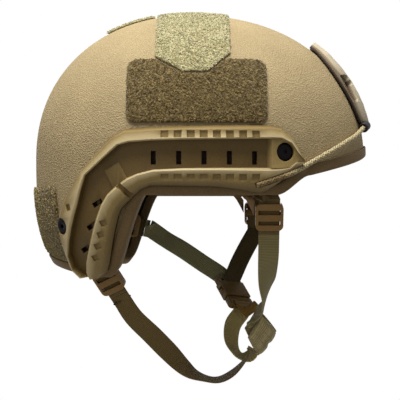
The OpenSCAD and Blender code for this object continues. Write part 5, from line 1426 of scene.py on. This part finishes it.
# ---- Anchor sheets of the front straps: a sheet on the wall, lead webbing and a smooth wing ----
# Rows of height, front-sheet edges in x and share of the way in to the rim
FRONT_SHEET = [(34, 52, 68, 0), (27, 51, 69, 0), (19, 48, 69, 0), (8, 41, 67, 1), (-3, 33, 61.5, 1.4),
               (-6.2, 34.2, 60.5, 1.5)]
WING = [(-12.8, -17.6), (-9, -15.6), (-5, -13.6), (-1, -11.8)]
WEB_RIM = WEB_WALL - 2.5
WING_TOP, WING_RIGHT = -5.6, -11.3
SHEET_T, LEAD_T, LEAD_SHARE = 1.4, 1.3, 0.62


def cloth_plate(name, rows, normals, t):
    """Closed sheet of cloth from rows of middle points, thinner at its edges, with its lay as uv."""
    rows, normals = np.array(rows, float), unit(normals)
    k, n = rows.shape[:2]
    half = (t / 2 * np.where(from_rim(k, n) == 0, 0.6, 1.0))[..., None]
    u, v = lengths_along(rows[:, n // 2]) * MM, lengths_along(rows[k // 2]) * MM
    lay = [(u[j], v[i]) for j in range(k) for i in range(n)]
    return closed_sheet(name, rows + normals * half, rows - normals * half, n, lay=lay)


def on_sheet(z, share):
    """Middle point and outward direction of the front sheet at a height and a share of its width."""
    heights = [line[0] for line in FRONT_SHEET][::-1]
    x0, x1, f = (float(np.interp(z, heights, [line[k] for line in FRONT_SHEET][::-1])) for k in (1, 2, 3))
    h = WEB_WALL + (WEB_RIM - WEB_WALL) * min(f, 1) - max(f - 1, 0)
    p = beside(x0 + (x1 - x0) * share, z)
    return lift(p, h), outward(p)


def make_front_anchors():
    """Anchor sheet, lead webbing and wing of each front strap."""
    wing_out = np.cross(FRONT_DIR, [1, 0, 0])
    heights = (34, 33.4, 31, 27, 23, 19, 15, 11.5, 8, 4.5, 1, -3, -5.6, -6.2)
    shares = (0, 0.03, 0.2, 0.4, 0.6, 0.8, 0.97, 1)
    for side, word in ((1, "right"), (-1, "left")):
        flip = np.array([1.0, side, 1.0])
        found = [[on_sheet(z, f) for f in shares] for z in heights]
        rows, normals = ([[q[which] * flip for q in line] for line in found] for which in (0, 1))
        sheet = cloth_plate(word + "_front_sheet", rows, normals, SHEET_T)
        dress(sheet, "helmet", "tan_webbing", NYLON_SHEET, word + "_front_web")
        for share in (0.1, 0.9):
            line = [on_sheet(z, share) for z in np.linspace(32, -4, 20)]
            sew("helmet", [(q - n * SHEET_T / 2) * flip for q, n in line], [-n * flip for _, n in line])
        lead = [row(on_sheet(z, LEAD_SHARE)[0] * flip, [1, 0, 0]) for z in (2, -3.4)]
        lead += [row((FRONT_SLIDE + FRONT_DIR * s) * flip, [1, 0, 0]) for s in (-15.2, -14.4, -6, 0, 6, 14)]
        webbing = ribbon(word + "_front_lead", lead, t=LEAD_T)
        dress(webbing, "helmet", "tan_webbing", BROWN_WEAVE, word + "_front_web")
        rows = [[on_sheet(WING_TOP, f)[0] * flip for f in (0.0, 0.06, 0.13, 0.2, 0.26)]]
        rows += [[(FRONT_SLIDE + FRONT_DIR * s + [x, 0, 0]) * flip for x in np.linspace(left, WING_RIGHT, 5)]
                 for s, left in WING]
        wing = cloth_plate(word + "_front_wing", rows, np.broadcast_to(wing_out * flip, (len(rows), 5, 3)), SHEET_T)
        dress(wing, "helmet", "tan_webbing", NYLON_SHEET, word + "_front_web")


make_front_anchors()

# ---- Pads: sewn forms blown up by cloth simulation, with a seam round each ----
INSIDE = -WALL - SEAT
HOOK_T = 2.4
DISC_BACK = INSIDE - CURVE_SEAT
PAD_BACK = DISC_BACK - HOOK_T - CURVE_SEAT
PAD_RINGS = [(0.5, 0), (0.93, 0), (1, 0.14), (1.03, 0.4), (1, 0.68), (0.88, 0.88), (0.66, 0.97), (0.34, 1.01)]
DISC_RINGS = [(0.6, 0), (0.96, 0.02), (1, 0.2), (1, 0.8), (0.95, 0.98), (0.6, 1)]
PAD_T, EAR_PAD_T, PAD_SIDES, PAD_FILL, CORNER_POWER, SEAM_STEPS, PIPING_D = 17, 8, 44, 0.75, 0.55, 96, 1.5
PAD_VOXEL, HELD_SHARE, FILL_PRESSURE, FILL_FRAMES = 0.0045, 0.22, 4.0, 20
SIDE_PAD_X, SIDE_PAD_Z, EAR_PAD_AT = (36, -42), 66, (-78, -7)
CROWN_AT, FRONT_PAD_AT, REAR_PAD_AT = np.array([-WIDE_BACK, 0.0, CROWN_H]), before(0, 62), around(180, 38)


def corner_round(turn):
    """Place at a turn on an outline between a round and a square."""
    return tuple(np.sign(v) * np.abs(v) ** CORNER_POWER for v in (np.cos(turn), np.sin(turn)))


def box_of(node):
    return [np.array(corner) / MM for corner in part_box(node)]


class PadPlace:
    """Where a pad sits: its place on the shell, its width and height directions and its back."""

    def __init__(self, at, w, h, t, back):
        self.w, self.h, self.t, self.back = w, h, t, back
        self.p = project(at)
        n = outward(self.p)
        up = np.array([1.0, 0, 0]) if abs(n[2]) > 0.97 else np.array([0, 0, 1.0])
        self.v = unit(up - n * (up @ n))
        self.u = np.cross(self.v, n)

    def at(self, x, y, depth):
        """Point at a share of the half width and height, at a depth under the back."""
        q = self.p + self.u * (self.w / 2 * x) + self.v * (self.h / 2 * y)
        return lift(project(q), self.back - depth)

    def height(self, q):
        """Height of points of the pad over its back."""
        return self.back - height_over(q)


class FlatPlace:
    """Pad place on the flat back of the dial's housing."""

    def __init__(self, start, w, h, t):
        self.start, self.w, self.h, self.t = np.array(start, float), w, h, t

    def at(self, x, y, depth):
        return self.start + np.array([depth, self.w / 2 * x, self.h / 2 * y])

    def height(self, q):
        return q[..., 0] - self.start[0]


def sewn_form(name, place, rings, sides, smaller=0.0):
    """Closed form of a pad before it is filled."""
    sx, sy, t = 1 - 2 * smaller / place.w, 1 - 2 * smaller / place.h, place.t - smaller
    outline = [corner_round(a) for a in 2 * np.pi * np.arange(sides) / sides]
    points = [place.at(0, 0, 0)]
    points += [place.at(sx * share * x, sy * share * y, depth * t) for share, depth in rings for x, y in outline]
    points.append(place.at(0, 0, t * 1.01))
    end, last = len(points) - 1, 1 + (len(rings) - 1) * sides
    faces = [(0, 1 + (i + 1) % sides, 1 + i) for i in range(sides)] + grid_faces(sides, len(rings), True, 1)
    faces += [(end, last + i, last + (i + 1) % sides) for i in range(sides)]
    piece = new_piece(name, np.array(points), faces, 60.0)
    turn_outwards(piece.data)
    return piece


def filled(piece, place, cap):
    """Fabric blown up from the sewn form by cloth simulation, its back held and its movement capped."""
    voxels = piece.modifiers.new("voxels", "REMESH")
    voxels.mode, voxels.voxel_size, voxels.use_smooth_shade = "VOXEL", PAD_VOXEL, True
    finished_mesh(piece)
    sewn = places_of(piece.data)
    held = piece.vertex_groups.new(name="held")
    deep = place.height(sewn / MM)
    held.add([int(i) for i in np.nonzero(deep < HELD_SHARE * place.t)[0]], 1.0, "REPLACE")
    cloth = piece.modifiers.new("filling", "CLOTH")
    cloth.settings.quality = 5
    cloth.settings.use_pressure, cloth.settings.uniform_pressure_force = True, FILL_PRESSURE
    cloth.settings.effector_weights.gravity = 0.0
    cloth.settings.vertex_group_mass = "held"
    cloth.collision_settings.use_collision = False
    cloth.point_cache.frame_start, cloth.point_cache.frame_end = 1, FILL_FRAMES
    for step in range(1, FILL_FRAMES + 1):
        scene.frame_set(step)
    graph = bpy.context.evaluated_depsgraph_get()
    moved = places_of(piece.evaluated_get(graph).data) - sewn
    piece.modifiers.clear()
    scene.frame_set(1)
    far = np.linalg.norm(moved, axis=1, keepdims=True)
    moved *= np.minimum(1.0, cap * MM / np.maximum(far, 1e-9))
    piece.data.vertices.foreach_set("co", (sewn + moved).reshape(-1))
    piece.data.update()
    finer = piece.modifiers.new("finer", "SUBSURF")
    finer.levels = finer.render_levels = 1
    finished_mesh(piece)
    turn_outwards(piece.data)
    smooth_faces(piece.data, 180.0)
    return piece


def seam_round(piece, place, share, lift_by):
    """Points with their face directions of a line round a pad at a share of its depth."""
    tree = tree_of(piece.data)
    line = []
    for a in 2 * np.pi * np.arange(SEAM_STEPS + 1) / SEAM_STEPS:
        x, y = corner_round(a)
        far, near = (place.at(f * x, f * y, share * place.t) for f in (2.2, 0.2))
        hit, normal, _, _ = tree.ray_cast(Vector(far * MM), Vector(unit(near - far)))
        if hit is not None:
            line.append(np.concatenate([np.array(hit) / MM + np.array(normal) * lift_by, np.array(normal)]))
    return np.array(line + line[:1])


def make_pad(name, place, node, cap=3.0, smaller=1.6):
    """Filled pad with a piping round its middle and two rows of stitches."""
    pad = filled(sewn_form(name, place, PAD_RINGS, PAD_SIDES, smaller), place, cap)
    dress(pad, "helmet", "pads", PAD_KNIT, node)
    seam = even_steps(seam_round(pad, place, 0.42, 0.1), 1.6)
    cord, _ = tube(name + "_piping", seam[:, :3], PIPING_D, 8, ups=seam[:, 3:])
    dress(cord, "helmet", "pads", BLACK_BINDING)
    for share in (0.56, 0.28):
        line = seam_round(pad, place, share, 0.02)
        sew("dark", line[:, :3], line[:, 3:], 3.0, 0.04, 0.8)


def make_pads():
    for word, at, w, h in (("crown", CROWN_AT, 84, 84), ("front", FRONT_PAD_AT, 96, 42), ("rear", REAR_PAD_AT, 84, 50)):
        make_pad(word + "_cushion", PadPlace(at, w, h, PAD_T, PAD_BACK), word + "_pad")
    for side, word in ((-1, "right"), (1, "left")):
        for x, which in zip(SIDE_PAD_X, ("front", "rear")):
            place = PadPlace(beside(x, SIDE_PAD_Z, side), 60, 44, PAD_T, PAD_BACK)
            make_pad(f"{word}_{which}_side_cushion", place, word + "_side_pads")
        place = PadPlace(beside(*EAR_PAD_AT, side), 22, 28, EAR_PAD_T, PAD_BACK)
        make_pad(word + "_ear_cushion", place, "ear_pads", 1.5, 1.0)
    low, high = box_of("nape_pad")
    nape = FlatPlace([low[0], (low[1] + high[1]) / 2, (low[2] + high[2]) / 2], high[1] - low[1], high[2] - low[2],
                     high[0] - low[0])
    make_pad("nape_cushion", nape, "nape_pad", 1.5, 1.0)


def make_hook_patches():
    """Thin hook patches between the shell and the pads, as one piece."""
    parts = [(CROWN_AT, 40, 40), (FRONT_PAD_AT, 30, 26), (REAR_PAD_AT, 36, 30)]
    parts += [(beside(x, SIDE_PAD_Z, side), 34, 26) for side in (-1, 1) for x in SIDE_PAD_X]
    parts += [(beside(*EAR_PAD_AT, side), 14, 18) for side in (-1, 1)]
    joined = bmesh.new()
    for at, w, h in parts:
        patch = sewn_form("patch", PadPlace(at, w, h, HOOK_T, DISC_BACK), DISC_RINGS, 40)
        joined.from_mesh(patch.data)
        drop(patch)
    mesh = bpy.data.meshes.new("hook_discs")
    joined.to_mesh(mesh)
    joined.free()
    smooth_faces(mesh, 50.0)
    dress(shown("hook_discs", mesh), "helmet", "hook_patch", HOOK_PILE, "hook_patches")


make_pads()
make_hook_patches()

# ---- Hanger of the dial ----
HANGER_W, HANGER_T = 22.0, 1.4


def make_hanger():
    """Webbing that hangs the dial's housing from the shell."""
    house = box_of("dial_base")[1]
    top, turned = lift(around(180, 14), INSIDE - 2), lift(around(180, 2), INSIDE - 2)
    path = [row(p, [0, 1, 0]) for p in (
        top, turned, turned + [6, 0, -8], [house[0] + 3, 0, house[2] + 8],
        [house[0] + 1.2, 0, house[2] - 2], [house[0] + 1.2, 0, house[2] - 8])]
    strap = ribbon("dial_hanger_webbing", path, HANGER_W, HANGER_T)
    dress(strap, "helmet", "webbing", DARK_SHADE_WEAVE, "dial_hanger")
    sew_box("helmet", path, 0.03, 0.2, HANGER_W, HANGER_T, (-1,))


make_hanger()

# ---- Chin cup: two ribbed, bound bands that part in the middle, over a quilted pad ----
CUP_STEPS, CUP_ACROSS, RIB_PITCH = 190, 27, 1.9
DIAL_HEAD_H = 1.2


def cup_width(y):
    """Half width of the cup's cover: drawn in towards the straps."""
    return CUP_W / 2 * (1 - 0.2 * abs(y / CUP_HALF) ** 3)


def on_cup(y, c, h):
    """Point of the cup at a share c of its half width and a height over its middle surface."""
    curl = -1.1 * abs(c) ** 3 * (1 - 0.6 * abs(y / CUP_HALF) ** 2)
    return cup_middle(y) + cup_across(y) * (cup_width(y) * c) + cup_out(y) * (h + curl)


def make_cup():
    """Cover of the cup, ribbed and creased, with a bound edge on each side and four rows of stitches."""
    ys, cs = np.linspace(-CUP_HALF + 0.3, CUP_HALF - 0.3, CUP_STEPS), np.linspace(-1, 1, CUP_ACROSS)
    top, low = [], []
    for y in ys:
        rib = 0.22 * math.sin(2 * math.pi * y / RIB_PITCH)
        crease = 0.5 * math.exp(-((y - 13) / 2.2) ** 2) + 0.45 * math.exp(-((y + 17) / 2.0) ** 2)
        for c in cs:
            edge = 1 - abs(c) ** 6
            valley = 1.15 * math.exp(-(c / 0.16) ** 2) * (1 - (y / CUP_HALF) ** 4)
            h = 0.9 + 1.35 * edge - valley + rib * edge - crease * edge * (0.6 + 0.4 * c)
            top.append(on_cup(y, c, max(h, 0.5)))
            low.append(on_cup(y, c, 0.05))
    lay = [(y * MM, c * CUP_W / 2 * MM) for y in ys for c in cs]
    cover = closed_sheet("chin_cup_cover", top, low, CUP_ACROSS, 50.0, lay)
    dress(cover, "chin_strap", "cup", CUP_WEAVE, "chin_cup")
    spread = np.linspace(-CUP_HALF + 0.6, CUP_HALF - 0.6, 60)
    for c, word in ((-1, "upper"), (1, "lower")):
        line, ups = [on_cup(y, c * 0.97, 0.75) for y in spread], [cup_out(y) for y in spread]
        binding, _ = tube(f"cup_{word}_binding", line, 1.9, 12, ups=ups)
        dress(binding, "chin_strap", "cup", CUP_BINDING, "chin_cup")
    spread = np.linspace(-CUP_HALF + 3, CUP_HALF - 3, 40)
    for c, h in ((-0.84, 1.75), (-0.3, 2.15), (0.3, 2.15), (0.84, 1.75)):
        sew("chin_strap", [on_cup(y, c, h) for y in spread], [cup_out(y) for y in spread], 2.4)


def make_cup_pad():
    """Quilted pad inside the cup: rows of low cushions."""
    half, wide, thick = CUP_HALF - 4, (CUP_W - 3) / 2, CUP_T * 0.5
    ys, cs = np.linspace(-half, half, 90), np.linspace(-1, 1, 34)
    top, low = [], []
    for y in ys:
        share = y / half
        for c in cs:
            room = (1 - abs(c) ** 8) * (1 - abs(share) ** 12)
            quilt = abs(math.sin(math.pi * (c + 1) * 1.5)) ** 0.45 * abs(math.sin(math.pi * (share + 1) * 2)) ** 0.45
            h = -SEAT - 0.5 - (thick - 0.5) * room * (0.42 + 0.58 * quilt)
            base = cup_middle(y) + cup_across(y) * (wide * c)
            top.append(base + cup_out(y) * h)
            low.append(base - cup_out(y) * SEAT)
    pad = closed_sheet("chin_cup_quilt", top, low, len(cs))
    dress(pad, "chin_strap", "cup_pad", CUP_KNIT, "chin_cup_pad")


make_cup()
make_cup_pad()


# ---- Screws of the dial, and all the stitches ----
def make_dial_screws():
    low, high = box_of("dial_screws")
    length = high[0] - low[0] - DIAL_HEAD_H
    profile = [(1.0, -length), (1.0, 0.0)] + dome(4.0, DIAL_HEAD_H) + [(0.95, 1.15), (0.9, 0.5)]
    head = turned_pattern("dial_screw", profile, 20, 9)
    reach_y, reach_z = (high[1] - low[1]) / 2 - 2, (high[2] - low[2]) / 2 - 2
    spots = [([low[0] + DIAL_HEAD_H, y, (low[2] + high[2]) / 2 + z], [0, 0, 1], [-1, 0, 0])
             for y in (-reach_y, reach_y) for z in (-reach_z, reach_z)]
    placed("dial_screw_heads", spots, head, BLACK_STEEL, "helmet", "screws", "dial_screws")
    drop(head)


make_dial_screws()
for body, path, first, last in (
        ("helmet", rear_web_path, 0.55, 0.68), ("chin_strap", left_lower_path, 0.07, 0.2),
        ("chin_strap", left_upper_path, 0.2, 0.5), ("chin_strap", right_front_path, 0.93, 0.985),
        ("chin_strap", right_rear_path, 0.95, 0.99)):
    sew_box(body, path, first, last)
STITCH = make_stitch_pattern()
placed("helmet_stitches", STITCHES["helmet"], STITCH, THREAD, "helmet", "webbing")
placed("pad_stitches", STITCHES["dark"], STITCH, BLACK_THREAD, "helmet", "pads")
placed("chin_stitches", STITCHES["chin_strap"], STITCH, THREAD, "chin_strap", "webbing")
drop(STITCH)
